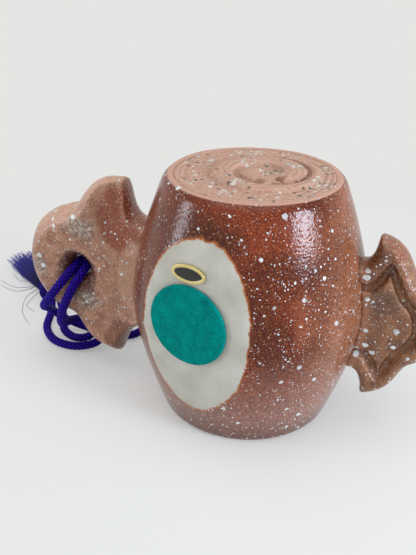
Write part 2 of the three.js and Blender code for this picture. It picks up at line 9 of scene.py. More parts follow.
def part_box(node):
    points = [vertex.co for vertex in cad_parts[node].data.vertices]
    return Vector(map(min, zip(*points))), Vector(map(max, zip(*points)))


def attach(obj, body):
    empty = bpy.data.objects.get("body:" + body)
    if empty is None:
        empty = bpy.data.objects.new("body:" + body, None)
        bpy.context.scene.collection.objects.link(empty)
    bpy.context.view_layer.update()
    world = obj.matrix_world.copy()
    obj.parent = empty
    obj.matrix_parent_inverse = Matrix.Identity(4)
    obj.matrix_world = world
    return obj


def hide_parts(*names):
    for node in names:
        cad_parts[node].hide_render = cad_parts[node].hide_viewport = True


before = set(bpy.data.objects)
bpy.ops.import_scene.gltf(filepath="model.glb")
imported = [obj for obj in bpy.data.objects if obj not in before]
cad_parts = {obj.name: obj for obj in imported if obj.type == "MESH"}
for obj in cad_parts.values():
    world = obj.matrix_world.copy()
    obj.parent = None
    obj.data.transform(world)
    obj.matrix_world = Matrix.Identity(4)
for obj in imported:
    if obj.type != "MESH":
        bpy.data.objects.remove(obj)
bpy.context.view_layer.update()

# A lucky mallet of wood-fired stoneware, stood on one end of its barrel, with its cord and tassel

MM = 0.001

# Camera, fitted to the photograph
PHOTO_HEIGHT = 555  # pixels
FOCAL_LENGTH = 750  # pixels
SENSOR_SIZE = 36  # mm
CAMERA_PLACE = Vector((64.69, -214.0, 158.41)) * MM
CAMERA_TURN = 20.4  # degrees, from +Y towards -X
CAMERA_TILT = 26.81  # degrees, downwards
CAMERA_ROLL = 1.03  # degrees

# Studio
PALE_ROOM = "#e5e5e3"
ROOM_LIGHT = 0.7  # the room's own light on the object, as a share of how pale it looks
FLOOR_SIZE = 12  # metres
FLOOR_NEAR = 60 * MM  # the floor fades into the room between these distances from the barrel's axis
FLOOR_FAR = 270 * MM
FLOOR_HAZE = 0.36  # how much of the room shows in the floor by the object
LAMPS = (  # place, width and height in metres, power in watts, spread in degrees, and tint
    ("window", (0.61, -0.17, 0.24), 0.23, 0.17, 3.3, 180, "#e4edff"),
    ("ceiling_panel", (0, -0.15, 0.85), 1.0, 1.0, 1.35, 110, "#fffefa"),
    ("pale_wall", (-0.55, -0.27, 0.15), 0.11, 0.26, 0.9, 180, "#f4f6ff"),
)
LAMP_TARGET = Vector((0, 0, 40)) * MM

# Barrel, as the CAD turns it
BARREL_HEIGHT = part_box("barrel_shell")[1].z
BARREL_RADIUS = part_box("barrel_shell")[1].x
END_RADIUS = 28.2 * MM
BARREL_SWELL = 1.55
RIM_ROUNDING = 2 * MM
DISC_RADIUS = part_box("upper_end_disc")[1].x
DISC_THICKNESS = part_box("lower_end_disc")[1].z
JOINT_WIDTH = 0.3 * MM
THROAT_RADIUS = DISC_RADIUS - 2.7 * MM
FOOT_BEARING = math.radians(10.6)  # from -Y towards -X
FOOT_DISTANCE = 34.2 * MM
FOOT_SOFTNESS = 0.45 * MM
BARREL_SIDES = 288
BARREL_BANDS = 120
RIM_STEPS = 8
RIM_BOW_OUT = 0.35  # how far the rim's curve bows outwards and down from a straight bevel
RIM_BOW_DOWN = 0.25
MOUTH_LIP = ((0, 0.8), (-0.2, 0.3), (-0.1, 0))  # the lip round an end disc: out and up in millimetres
foot_normal = Vector((-math.sin(FOOT_BEARING), -math.cos(FOOT_BEARING), 0))
foot_across = Vector((math.cos(FOOT_BEARING), -math.sin(FOOT_BEARING), 0))

# Bare oval that the glaze leaves on the foot
OVAL_SIDE = -0.4 * MM  # along the foot, from the barrel's axis
OVAL_HEIGHT = 42.6 * MM
OVAL_HALF_WIDTH = 18.5 * MM
OVAL_HALF_HEIGHT = 29.2 * MM
OVAL_DEPTH = 40 * MM
OVAL_LEAN = math.radians(3)

# Plaques
CORD_HOLE = (-62 * MM, 40.6 * MM)
SLIP_REACH = 3.2 * MM  # how far the smoothed slip runs out on a plaque's neck
SLIP_FLARE = 0.7 * MM
SLIP_BITE = 1.2 * MM  # how far a neck goes into the barrel
PULL_CLEARANCE = 4 * MM  # how far from the barrel the clay can be pulled aside in full

# Cord, with the route of its CAD tube in millimetres
CORD_DIAMETER = 3 * MM
CORD_SPACING = 3.5
TASSEL_PLACE = (-97, 29.5)
TASSEL_BEARING = math.radians(140.1)
TASSEL_AXIS_HEIGHT = 4.6
KNOT_GAP = 0.3
CORD_ROUTE = [
    (-86.9, 20.6, 2.3), (-79.6, 9.8, 1.9), (-72.4, 6.6, 2.1), (-66.8, 7.7, 3.9), (-63.4, 10.4, 12),
    (-63.7, 9.3, 34), (-63.8, 2.6, 40.4), (-64.4, -4.7, 39.8), (-67, -9, 35.7), (-72, -9.8, 29),
    (-77.2, -6.6, 22.6), (-80.8, 1, 17), (-82.8, 8.4, 10.8), (-81.2, 13.4, 5.3), (-75, 15.8, 2.1),
    (-59.2, 14.7, 1.9), (-53.6, 17, 1.8), (-51.3, 22.6, 1.8), (-53.6, 28.2, 1.9), (-59.5, 30.4, 2.1),
    (-65, 27.2, 2.7), (-68, 17.6, 6.6), (-71.2, 4, 12.2), (-70.8, -5.4, 15.6), (-67.8, -9.6, 23.2),
    (-64, -9.5, 31.8), (-60.9, -5.9, 38.4), (-60.2, 1.4, 40.5), (-60.1, 7.8, 37), (-59.4, 10.8, 26),
    (-59.2, 10.4, 10.4), (-62.4, 5.4, 3.4), (-69.4, 1, 2.1), (-79.4, 1.8, 1.9), (-87.8, 9.4, 1.8),
    (-92.2, 20, 2.7),
]
BRAID_STEP = 0.21 * MM
BRAID_SIDES = 40
BRAID_STRANDS = 6  # that wind each way
BRAID_PITCH = 10.4 * MM  # one turn of a strand
BRAID_RADIUS = 1.68 * MM  # on a strand's crest
BRAID_RELIEF = 0.4 * MM
BRAID_FULLNESS = 0.7  # how round a strand is: less is fuller
BRAID_LEVEL = 0.55  # a strand's height between two crossings, as a share of the relief
BRAID_SWAY = 0.45  # how far it rises over the other strand and dips under it
ANY_SIDE = Vector((0.31, 0.17, 0.93))  # a direction that no strand starts along


# Working in Blender

def deselect():
    if bpy.context.mode != "OBJECT":
        bpy.ops.object.mode_set(mode="OBJECT")
    bpy.ops.object.select_all(action="DESELECT")


def pick(piece):
    deselect()
    piece.select_set(True)
    bpy.context.view_layer.objects.active = piece


def apply_modifier(piece, kind, **settings):
    pick(piece)
    modifier = piece.modifiers.new(kind.lower(), kind)
    for name, value in settings.items():
        setattr(modifier, name, value)
    bpy.ops.object.modifier_apply(modifier=modifier.name)


def merge_points(piece):
    """Joins points that lie on one another, and turns all faces outwards."""
    pick(piece)
    bpy.ops.object.mode_set(mode="EDIT")
    bpy.ops.mesh.select_all(action="SELECT")
    bpy.ops.mesh.remove_doubles(threshold=0.001 * MM)
    bpy.ops.mesh.normals_make_consistent(inside=False)
    bpy.ops.object.mode_set(mode="OBJECT")


def select_faces(piece, wanted):
    """Goes into edit mode with only the wanted faces selected."""
    pick(piece)
    bpy.context.tool_settings.mesh_select_mode = (False, False, True)
    bpy.ops.object.mode_set(mode="EDIT")
    bpy.ops.mesh.select_all(action="DESELECT")
    bpy.ops.object.mode_set(mode="OBJECT")
    for face in piece.data.polygons:
        face.select = wanted(face)
    bpy.ops.object.mode_set(mode="EDIT")


def node_copy(node):
    """A CAD node's shape as a piece of its own, with its loose triangles joined."""
    copy = bpy.data.objects.new(node + "_copy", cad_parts[node].data.copy())
    bpy.context.scene.collection.objects.link(copy)
    merge_points(copy)
    return copy


def hand_worked(piece, swing, strength):
    """Uneven by a hand's touch: swells and dips of a given width and height."""
    dips = bpy.data.textures.new(piece.name + "_dips", "CLOUDS")
    dips.noise_scale = swing
    dips.noise_depth = 1
    apply_modifier(piece, "DISPLACE", texture=dips, strength=strength, mid_level=0.5, texture_coords="GLOBAL")


def finish_piece(piece, name, nodes, slot, *materials, angle=None):
    """Name, place, shading and finish of a piece that stands for CAD nodes."""
    pick(piece)
    bpy.ops.object.transform_apply(location=True, rotation=True, scale=True)
    piece.name = name
    if materials:
        piece.data.materials.clear()
    for material in materials:
        piece.data.materials.append(material)
    if angle is None:
        bpy.ops.object.shade_smooth()
    else:
        bpy.ops.object.shade_smooth_by_angle(angle=math.radians(angle))
    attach(piece, "root")
    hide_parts(*nodes)
    return piece


# Materials

def colour(code):
    """A linear colour from an sRGB hex code."""
    values = [int(code[i:i + 2], 16) / 255 for i in (1, 3, 5)]
    return (*[v / 12.92 if v <= 0.04045 else ((v + 0.055) / 1.055) ** 2.4 for v in values], 1)


def feed(tree, node, sockets):
    """Gives each socket of a node a value, a colour by its hex code, or the output that feeds it."""
    for name, value in sockets.items():
        if isinstance(value, bpy.types.NodeSocket):
            tree.links.new(value, node.inputs[name])
        elif isinstance(value, str):
            node.inputs[name].default_value = colour(value)
        else:
            node.inputs[name].default_value = value


def add_node(tree, kind, sockets, output=0, **settings):
    """Adds a shader node with its settings and links, and gives back one output.

    Sockets go by name or by place: a colour Mix has its share at 0 and its colours at 6 and 7, and a MapRange
    has its value at 0, what it runs between at 1 and 2, and what comes out there at 3 and 4.
    """
    node = tree.nodes.new("ShaderNode" + kind)
    for name, value in settings.items():
        setattr(node, name, value)
    feed(tree, node, sockets)
    return node.outputs[output]


def new_material(name):
    """A material with its tree, its shader and the place that its patterns are laid out in."""
    material = bpy.data.materials.new(name)
    material.use_nodes = True
    tree = material.node_tree
    return material, tree, tree.nodes["Principled BSDF"], add_node(tree, "TexCoord", {}, "Object")


UNTURNED = (0, 0, 0)


def zone(tree, place, centre, reach, turn=UNTURNED):
    """How far a point is from the centre of an egg-shaped zone: 1 on the zone's edge."""
    sockets = {0: place, "Location": centre, "Rotation": turn, "Scale": reach}
    local = add_node(tree, "Mapping", sockets, vector_type="TEXTURE")
    return add_node(tree, "VectorMath", {0: local}, "Value", operation="LENGTH")


def stained(tree, base, source, start, full, share, tint):
    """The base with a stain over it: none where the source is at start, and its share where it is at full."""
    amount = add_node(tree, "MapRange", {0: source, 1: start, 2: full, 3: 0.0, 4: share})
    return add_node(tree, "Mix", {0: amount, 6: base, 7: tint}, 2, data_type="RGBA")


RAGGEDNESS = 0.9 * MM


def ragged_place(tree, place):
    """The place, shifted a little here and there, so that grains come out uneven."""
    stray = add_node(tree, "TexNoise", {0: place, "Scale": 1 / RAGGEDNESS}, "Color")
    shift = add_node(tree, "VectorMath", {0: stray, 1: (0.5, 0.5, 0.5)}, operation="SUBTRACT")
    return add_node(tree, "VectorMath", {0: shift, 1: (RAGGEDNESS,) * 3, 2: place}, operation="MULTIPLY_ADD")


GRAIN_SIZES = (  # spacing and largest radius in millimetres, and the share of grains that show
    (4.2, 1.05, 0.55),
    (2.2, 0.58, 0.8),
    (1.25, 0.34, 0.9),
    (0.85, 0.25, 0.7),
)
GRAIN_CORE = 0.72  # the share of a grain's radius that is fully white
THINNEST = 0.0001  # keeps a soft edge from shrinking to nothing


def feldspar_grains(tree, place, plenty):
    """White grains that stand out of the clay, up to 2 mm across: where they show, and their shades."""
    uneven = ragged_place(tree, place)
    shows = 0.0
    shade = None
    for spacing, largest, share in GRAIN_SIZES:
        distance = add_node(tree, "TexVoronoi", {0: uneven, "Scale": 1 / (spacing * MM)})
        chance = add_node(tree, "SeparateColor", {0: distance.node.outputs["Color"]})
        spare = add_node(tree, "Math", {0: plenty, 1: -share, 2: 1.0}, operation="MULTIPLY_ADD")
        reach = add_node(tree, "MapRange", {0: chance, 1: spare, 2: 1.0, 3: 0.0, 4: largest / spacing})
        inner = add_node(tree, "Math", {0: reach, 1: GRAIN_CORE}, operation="MULTIPLY")
        outer = add_node(tree, "Math", {0: reach, 1: THINNEST}, operation="ADD")
        grain = add_node(tree, "MapRange", {0: distance, 1: outer, 2: inner}, interpolation_type="SMOOTHSTEP")
        shows = add_node(tree, "Math", {0: shows, 1: grain}, operation="MAXIMUM")
        shade = shade or chance.node.outputs[1]
    return shows, shade


def finish_clay(tree, shader, place, base, grains, shade, peel, depth):
    """Sets grains into a clay colour, and raises them, the pimples over grains below, and the skin."""
    white = add_node(tree, "Mix", {0: shade, 6: "#a9acab", 7: "#e6e9ea"}, 2, data_type="RGBA")
    mixed = add_node(tree, "Mix", {0: grains, 6: base, 7: white}, 2, data_type="RGBA")
    skin = add_node(tree, "TexNoise", {0: place, "Scale": 1 / peel, "Detail": 1})
    distance = add_node(tree, "TexVoronoi", {0: place, "Scale": 1 / (1.5 * peel)})
    pimples = add_node(tree, "MapRange", {0: distance, 1: 0.5, 2: 0.1}, interpolation_type="SMOOTHSTEP")
    height = add_node(tree, "Math", {0: pimples, 1: 0.6, 2: skin}, operation="MULTIPLY_ADD")
    height = add_node(tree, "Math", {0: grains, 1: 0.9, 2: height}, operation="MULTIPLY_ADD")
    bump = add_node(tree, "Bump", {"Height": height, "Strength": 0.5, "Distance": depth})
    feed(tree, shader, {"Base Color": mixed, "Normal": bump})


SMOKED = (  # where the fire darkened the barrel: place, half width and height in millimetres, and how much
    (-3, -32, 72, 14, 9, 0.85), (16, -30, 66, 9, 6, 0.6), (15, -33, 50, 10, 18, 0.35),
)
SMOKE_DEPTH = 14
TAIL_ROOT = (38, -8, 44)  # where the tail kept the fire off, in millimetres
TAIL_ROOT_REACH = (8, 16, 26)


def barrel_stoneware():
    # A thin ash glaze fused on by a wood fire: glossy red-brown, broken up by dark and orange grit, with
    # white feldspar that melted out of the clay, and a bare grey oval that wax kept the glaze off
    material, tree, shader, place = new_material("wood_fired_stoneware")
    across = add_node(tree, "SeparateXYZ", {0: place})
    height = across.node.outputs[2]
    broad = add_node(tree, "TexNoise", {0: place, "Scale": 1 / (22 * MM), "Detail": 3})
    grit = add_node(tree, "TexNoise", {0: place, "Scale": 1 / (0.5 * MM), "Detail": 2, "Roughness": 0.6})
    side = add_node(tree, "Math", {0: broad, 1: 24 * MM, 2: across}, operation="MULTIPLY_ADD")
    drop = add_node(tree, "Math", {0: broad, 1: 18 * MM, 2: height}, operation="MULTIPLY_ADD")
    dark = add_node(tree, "MapRange", {0: broad, 1: 0.4, 2: 0.62})
    glaze = add_node(tree, "Mix", {0: dark, 6: "#571c07", 7: "#7e3115"}, 2, data_type="RGBA")
    # Paler on the tail's side, duller on the handle's, greyer low down and darker round the bottom rim
    # Paler on the tail's side: partly the glaze's own tone, partly painted light where the window falls
    glaze = stained(tree, glaze, side, 34 * MM, 56 * MM, 1.0, "#b47a5b")
    # Duller and greyer on the handle's side: partly the glaze's tone, partly a painted sheen of the pale wall
    glaze = stained(tree, glaze, side, 6 * MM, -18 * MM, 0.6, "#74493d")
    # Greyer low down: partly thinner glaze, partly a painted reflection of the floor
    glaze = stained(tree, glaze, drop, 46 * MM, 20 * MM, 0.8, "#9a796e")
    # Darker round the bottom rim: painted contact shade
    glaze = stained(tree, glaze, height, 12 * MM, 2 * MM, 0.85, "#664138")
    for x, y, z, wide, high, share in SMOKED:
        far = zone(tree, place, Vector((x, y, z)) * MM, Vector((wide, SMOKE_DEPTH, high)) * MM)
        far = add_node(tree, "Math", {0: broad, 1: 0.9, 2: far}, operation="MULTIPLY_ADD")
        glaze = stained(tree, glaze, far, 1.5, 0.9, share, "#43190c")
    root = zone(tree, place, Vector(TAIL_ROOT) * MM, Vector(TAIL_ROOT_REACH) * MM)
    root = add_node(tree, "Math", {0: broad, 1: 0.6, 2: root}, operation="MULTIPLY_ADD")
    glaze = stained(tree, glaze, root, 1.5, 0.8, 0.8, "#8d5b42")
    # Dark and orange grit, and a dry edge where the rim was wiped
    glaze = stained(tree, glaze, grit, 0.48, 0.36, 0.8, "#361006")
    glaze = stained(tree, glaze, grit, 0.56, 0.7, 0.7, "#b06a3a")
    edge = add_node(tree, "MapRange", {0: height, 1: BARREL_HEIGHT - 0.35 * MM, 2: BARREL_HEIGHT - 0.1 * MM})
    glaze = add_node(tree, "Mix", {0: edge, 6: glaze, 7: "#c59b8a"}, 2, data_type="RGBA")

    # The bare oval, with an orange flash where the glaze thins out to its edge
    centre = foot_normal * FOOT_DISTANCE + foot_across * OVAL_SIDE + Vector((0, 0, OVAL_HEIGHT))
    reach = (OVAL_HALF_WIDTH, OVAL_DEPTH, OVAL_HALF_HEIGHT)
    far = zone(tree, place, centre, reach, (0, OVAL_LEAN, -FOOT_BEARING))
    wander = add_node(tree, "TexNoise", {0: place, "Scale": 1 / (6 * MM), "Detail": 6, "Roughness": 0.65})
    far = add_node(tree, "Math", {0: wander, 1: 0.14, 2: far}, operation="MULTIPLY_ADD")
    bare = add_node(tree, "MapRange", {0: far, 1: 1.078, 2: 1.062})
    glaze = stained(tree, glaze, far, 1.105, 1.075, 0.9, "#b26a34")
    cloud = add_node(tree, "TexNoise", {0: place, "Scale": 1 / (10 * MM), "Detail": 4})
    dusty = add_node(tree, "MapRange", {0: cloud, 1: 0.35, 2: 0.7})
    chalk = add_node(tree, "Mix", {0: dusty, 6: "#afada1", 7: "#c6c5bc"}, 2, data_type="RGBA")
    chalk = stained(tree, chalk, grit, 0.31, 0.26, 0.6, "#847d70")
    base = add_node(tree, "Mix", {0: bare, 6: glaze, 7: chalk}, 2, data_type="RGBA")

    # White grains: more of them towards the tail and low down, in patches, and none on the oval
    frost = add_node(tree, "MapRange", {0: across, 1: -30 * MM, 2: 14 * MM, 3: 0.45, 4: 1.0})
    patch = add_node(tree, "MapRange", {0: cloud, 1: 0.3, 2: 0.62, 3: 0.35, 4: 1.15})
    kept = add_node(tree, "MapRange", {0: bare, 3: 1.0, 4: 0.0})
    plenty = add_node(tree, "Math", {0: frost, 1: patch}, operation="MULTIPLY")
    upper = add_node(tree, "MapRange", {0: drop, 1: 58 * MM, 2: 78 * MM, 3: 1.15, 4: 0.75})
    plenty = add_node(tree, "Math", {0: plenty, 1: upper}, operation="MULTIPLY")
    grains, shade = feldspar_grains(tree, place, plenty)
    grains = add_node(tree, "Math", {0: grains, 1: kept}, operation="MULTIPLY")
    finish_clay(tree, shader, place, base, grains, shade, peel=0.8 * MM, depth=0.12 * MM)
    dull = add_node(tree, "Math", {0: bare, 1: edge}, operation="MAXIMUM")
    rough = add_node(tree, "MapRange", {0: dull, 3: 0.18, 4: 0.75})
    feed(tree, shader, {"Roughness": rough, "IOR": 1.45, "Specular IOR Level": 0.4})
    return material


HANDLE_POOLS_AND_SHADING = (  # where glaze ran together, with painted shade in the funnel and painted light on the neck: centre and reach in millimetres, turn, tint, and how much
    ((-44.8, -4, 60.6), (9, 9, 12), (0, math.radians(-13), 0), "#8a4228", 0.9),
    # Dark funnel round the cord hole: partly glaze pooled in it, partly painted shade in the recess
    ((-61.9, -4, 38.2), (8.8, 8, 10), UNTURNED, "#4f271e", 0.9),
    ((-44, -6, 14), (9, 5, 9), UNTURNED, "#6e3f2b", 0.75),
    # Paler neck: partly the clay's own tan, partly painted light where the barrel shades it
    ((-39, -6, 40), (7, 9, 15), UNTURNED, "#b98f76", 0.6),
)
TAIL_POOLS = (
    ((44, -5, 68), (9, 8, 7), UNTURNED, "#8c513c", 0.6),
    ((40, -6, 61), (8, 6, 8), UNTURNED, "#643a24", 0.8),
    ((44.5, -6, 48), (6, 5, 4.5), UNTURNED, "#5f4132", 0.6),
    ((33, -4, 42), (8, 12, 26), UNTURNED, "#98634a", 0.8),
)
HANDLE_CRUSTS = (  # ash crusts on a plaque's front: place, half width and half height in millimetres
    (-77.4, 39, 4.5, 5.5), (-58.8, 28.4, 6.5, 4.5), (-59.8, 56.4, 7.5, 5.5),
)
CRUST_FRONT = -7
CRUST_DEPTH = 4
HANDLE_PEBBLES = (  # large grains on a plaque's front: place and radius in millimetres
    (-70.5, 55.5, 0.8), (-62.6, 60, 1.1), (-77, 43, 1.2), (-76, 39.4, 1.1),
)
TAIL_PEBBLES = (
    (38.3, 30.2, 1.15), (38.2, 28, 1.1), (40.9, 32.3, 1.1), (43.3, 30.1, 1), (49.8, 39.3, 1.1),
    (39.7, 48.6, 0.9), (38.8, 56.2, 1.3), (38.9, 58.4, 1), (40.4, 37.6, 0.8), (49.6, 33.4, 0.9),
)
PEBBLE_FRONT = -6
PEBBLE_DEPTH = 5
PEBBLE_FLATNESS = 0.8


def plaque_stoneware(name, light, dark, top_light_and_bloom, pools_and_shading, crusts, pebbles):
    # The same stoneware on a plaque: dry and paler where it looks up, partly dry ash and partly painted light
    # from above, dark and glossy where the glaze ran into hollows, with crusts of half-melted ash and pebbles
    # of feldspar
    material, tree, shader, place = new_material(name)
    fine = add_node(tree, "TexNoise", {0: place, "Scale": 1 / (3.5 * MM), "Detail": 5})
    broad = add_node(tree, "TexNoise", {0: place, "Scale": 1 / (13 * MM), "Detail": 3})
    grit = add_node(tree, "TexNoise", {0: place, "Scale": 1 / (0.6 * MM), "Detail": 2, "Roughness": 0.6})
    patch = add_node(tree, "MapRange", {0: fine, 1: 0.35, 2: 0.65})
    base = add_node(tree, "Mix", {0: patch, 6: dark, 7: light}, 2, data_type="RGBA")
    facing = add_node(tree, "NewGeometry", {}, "Normal")
    upward = add_node(tree, "SeparateXYZ", {0: facing}, 2)
    # Paler on faces that look up: partly dry ash settled there, partly painted light from above
    base = stained(tree, base, upward, 0.12, 0.7, top_light_and_bloom, "#d2a791")
    gloss = 0.0
    for centre, reach, turn, tint, share in pools_and_shading:
        far = zone(tree, place, Vector(centre) * MM, Vector(reach) * MM, turn)
        far = add_node(tree, "Math", {0: fine, 1: 0.4, 2: far}, operation="MULTIPLY_ADD")
        inside = add_node(tree, "MapRange", {0: far, 1: 1.26, 2: 1.08, 3: 0.0, 4: share})
        base = add_node(tree, "Mix", {0: inside, 6: base, 7: tint}, 2, data_type="RGBA")
        gloss = add_node(tree, "Math", {0: gloss, 1: inside}, operation="MAXIMUM")
    # Darker in creases within 5 mm: partly glaze that pooled there, partly painted shade
    crevice_shade = add_node(tree, "AmbientOcclusion", {"Distance": 5 * MM}, "AO", only_local=True, samples=8)
    base = stained(tree, base, crevice_shade, 0.7, 0.3, 0.25, "#431f12")
    base = stained(tree, base, grit, 0.5, 0.34, 0.35, "#452418")
    base = stained(tree, base, grit, 0.54, 0.72, 0.4, "#d3ac8e")
    plenty = add_node(tree, "MapRange", {0: broad, 1: 0.32, 2: 0.62, 3: 0.3, 4: 1.0})
    lumps = add_node(tree, "TexNoise", {0: place, "Scale": 1 / (1.3 * MM), "Detail": 4, "Roughness": 0.65})
    pitted = add_node(tree, "MapRange", {0: lumps, 1: 0.42, 2: 0.6})
    ash = add_node(tree, "Mix", {0: pitted, 6: "#6a4f40", 7: "#b3aba0"}, 2, data_type="RGBA")
    for x, z, wide, high in crusts:
        far = zone(tree, place, Vector((x, CRUST_FRONT, z)) * MM, Vector((wide, CRUST_DEPTH, high)) * MM)
        far = add_node(tree, "Math", {0: lumps, 1: 1.6, 2: far}, operation="MULTIPLY_ADD")
        inside = add_node(tree, "MapRange", {0: far, 1: 1.85, 2: 1.2, 3: 0.0, 4: 0.8})
        base = add_node(tree, "Mix", {0: inside, 6: base, 7: ash}, 2, data_type="RGBA")
        plenty = add_node(tree, "Math", {0: inside, 1: 0.9, 2: plenty}, operation="MULTIPLY_ADD")
        gloss = add_node(tree, "Math", {0: gloss, 1: inside}, operation="MAXIMUM")
    grains, shade = feldspar_grains(tree, place, plenty)
    uneven = ragged_place(tree, place)
    for x, z, size in pebbles:
        reach = Vector((size, PEBBLE_DEPTH, PEBBLE_FLATNESS * size)) * MM
        far = zone(tree, uneven, Vector((x, PEBBLE_FRONT, z)) * MM, reach)
        pebble = add_node(tree, "MapRange", {0: far, 1: 1.05, 2: 0.8}, interpolation_type="SMOOTHSTEP")
        grains = add_node(tree, "Math", {0: grains, 1: pebble}, operation="MAXIMUM")
    finish_clay(tree, shader, place, base, grains, shade, peel=0.9 * MM, depth=0.34 * MM)
    rough = add_node(tree, "MapRange", {0: gloss, 3: 0.32, 4: 0.2})
    feed(tree, shader, {"Roughness": rough, "IOR": 1.5})
    return material


ASH_SPOTS = (  # where ash settled on the upper end: place and reach in millimetres
    (-8.5, 18.6, 6), (-4.4, 6.1, 5), (4.4, 1.9, 6), (6.9, 22.4, 6), (21.5, -3.2, 6), (-1.2, -13, 5),
    (-2.5, -20.4, 3), (21, -14, 4), (21.1, 11.8, 6), (-19, 2, 4), (-23.5, 7.6, 3), (12, 9, 5),
)
ASH_HEIGHT = 80
ASH_DEPTH = 30


def dry_stoneware():
    # Stoneware left bare of glaze and turned on a wheel: dry and pink with no gloss, fine rings, and flecks
    # of green and white where fly ash settled
    material, tree, shader, place = new_material("turned_bare_stoneware")
    flat = add_node(tree, "VectorMath", {0: place, 1: (1, 1, 0)}, operation="MULTIPLY")
    cloud = add_node(tree, "TexNoise", {0: place, "Scale": 1 / (9 * MM), "Detail": 4})
    far = add_node(tree, "VectorMath", {0: flat}, "Value", operation="LENGTH")
    far = add_node(tree, "Math", {0: cloud, 1: 1.2 * MM, 2: far}, operation="MULTIPLY_ADD")
    turns = add_node(tree, "Math", {0: far, 1: 2 * math.pi / (1.9 * MM)}, operation="MULTIPLY")
    rings = add_node(tree, "Math", {0: turns}, operation="SINE")
    grit = add_node(tree, "TexNoise", {0: place, "Scale": 1 / (0.9 * MM), "Detail": 4, "Roughness": 0.7})
    speckle = add_node(tree, "MapRange", {0: grit, 1: 0.36, 2: 0.64})
    base = add_node(tree, "Mix", {0: speckle, 6: "#b38774", 7: "#cca592"}, 2, data_type="RGBA")
    uneven = ragged_place(tree, flat)
    distance = add_node(tree, "TexVoronoi", {0: uneven, "Scale": 1 / (1.8 * MM)}, voronoi_dimensions="2D")
    chance = add_node(tree, "SeparateColor", {0: distance.node.outputs["Color"]})
    patch = add_node(tree, "MapRange", {0: cloud, 1: 0.48, 2: 0.62, 3: 0.1, 4: 0.5})
    for x, y, reach in ASH_SPOTS:
        near = zone(tree, place, Vector((x, y, ASH_HEIGHT)) * MM, Vector((reach, reach, ASH_DEPTH)) * MM)
        spot = add_node(tree, "MapRange", {0: near, 1: 1.1, 2: 0.4})
        patch = add_node(tree, "Math", {0: patch, 1: spot}, operation="MAXIMUM")
    dusted = add_node(tree, "Math", {0: patch, 1: speckle}, operation="MULTIPLY")
    base = stained(tree, base, dusted, 0.25, 0.9, 0.55, "#b0a694")
    needed = add_node(tree, "Math", {0: patch, 1: -0.95, 2: 1.0}, operation="MULTIPLY_ADD")
    wide = add_node(tree, "MapRange", {0: chance, 1: needed, 2: 1.0, 3: 0.0, 4: 0.56})
    inner = add_node(tree, "Math", {0: wide, 1: 0.6}, operation="MULTIPLY")
    outer = add_node(tree, "Math", {0: wide, 1: THINNEST}, operation="ADD")
    fleck = add_node(tree, "MapRange", {0: distance, 1: outer, 2: inner, 3: 0.0, 4: 0.9})
    crusty = add_node(tree, "Math", {0: grit, 1: 1.8, 2: chance.node.outputs[1]}, operation="MULTIPLY_ADD")
    melted = add_node(tree, "MapRange", {0: crusty, 1: 1.3, 2: 1.5})
    ash = add_node(tree, "Mix", {0: melted, 6: "#474c3f", 7: "#dadad0"}, 2, data_type="RGBA")
    base = add_node(tree, "Mix", {0: fleck, 6: base, 7: ash}, 2, data_type="RGBA")
    # Painted shade in the hollows round the snake's coil, lumps and dents
    crevice_shade = add_node(tree, "AmbientOcclusion", {"Distance": 2.5 * MM}, "AO", only_local=True, samples=8)
    base = stained(tree, base, crevice_shade, 0.93, 0.6, 0.85, "#744535")
    plenty = add_node(tree, "Math", {0: patch, 1: 1.7}, operation="MULTIPLY")
    grains, shade = feldspar_grains(tree, place, plenty)
    finish_clay(tree, shader, place, base, grains, shade, peel=0.9 * MM, depth=0.2 * MM)
    under = shader.inputs["Normal"].links[0].from_socket
    ridges = {"Height": rings, "Strength": 0.55, "Distance": 0.2 * MM, "Normal": under}
    feed(tree, shader, {"Normal": add_node(tree, "Bump", ridges), "Roughness": 0.72})
    return material


def wool_felt():
    # Pressed wool felt: matted fibres that scatter the light, with no gloss and a soft nap
    material, tree, shader, place = new_material("pressed_wool_felt")
    fibres = add_node(tree, "TexNoise", {0: place, "Scale": 1 / (0.55 * MM), "Detail": 6, "Distortion": 1.5})
    clumps = add_node(tree, "TexNoise", {0: place, "Scale": 1 / (3.5 * MM), "Detail": 4})
    nap = add_node(tree, "Math", {0: clumps, 1: 0.5, 2: fibres}, operation="MULTIPLY_ADD")
    tint = add_node(tree, "MapRange", {0: nap, 1: 0.55, 2: 0.95})
    base = add_node(tree, "Mix", {0: tint, 6: "#006560", 7: "#00928b"}, 2, data_type="RGBA")
    bump = add_node(tree, "Bump", {"Height": nap, "Strength": 0.45, "Distance": 0.25 * MM})
    feed(tree, shader, {"Base Color": base, "Normal": bump, "Roughness": 0.95, "Specular IOR Level": 0.05})
    return material


def stamped_foil(name, tone, deep, metallic, roughness):
    # Stamped label foil: a thin metal skin with the small waves that pressing leaves in it
    material, tree, shader, place = new_material(name)
    waves = add_node(tree, "TexNoise", {0: place, "Scale": 1 / (0.8 * MM), "Detail": 3})
    base = add_node(tree, "Mix", {0: waves, 6: deep, 7: tone}, 2, data_type="RGBA")
    bump = add_node(tree, "Bump", {"Height": waves, "Strength": 0.25, "Distance": 0.12 * MM})
    feed(tree, shader, {"Base Color": base, "Normal": bump, "Metallic": metallic, "Roughness": roughness})
    return material


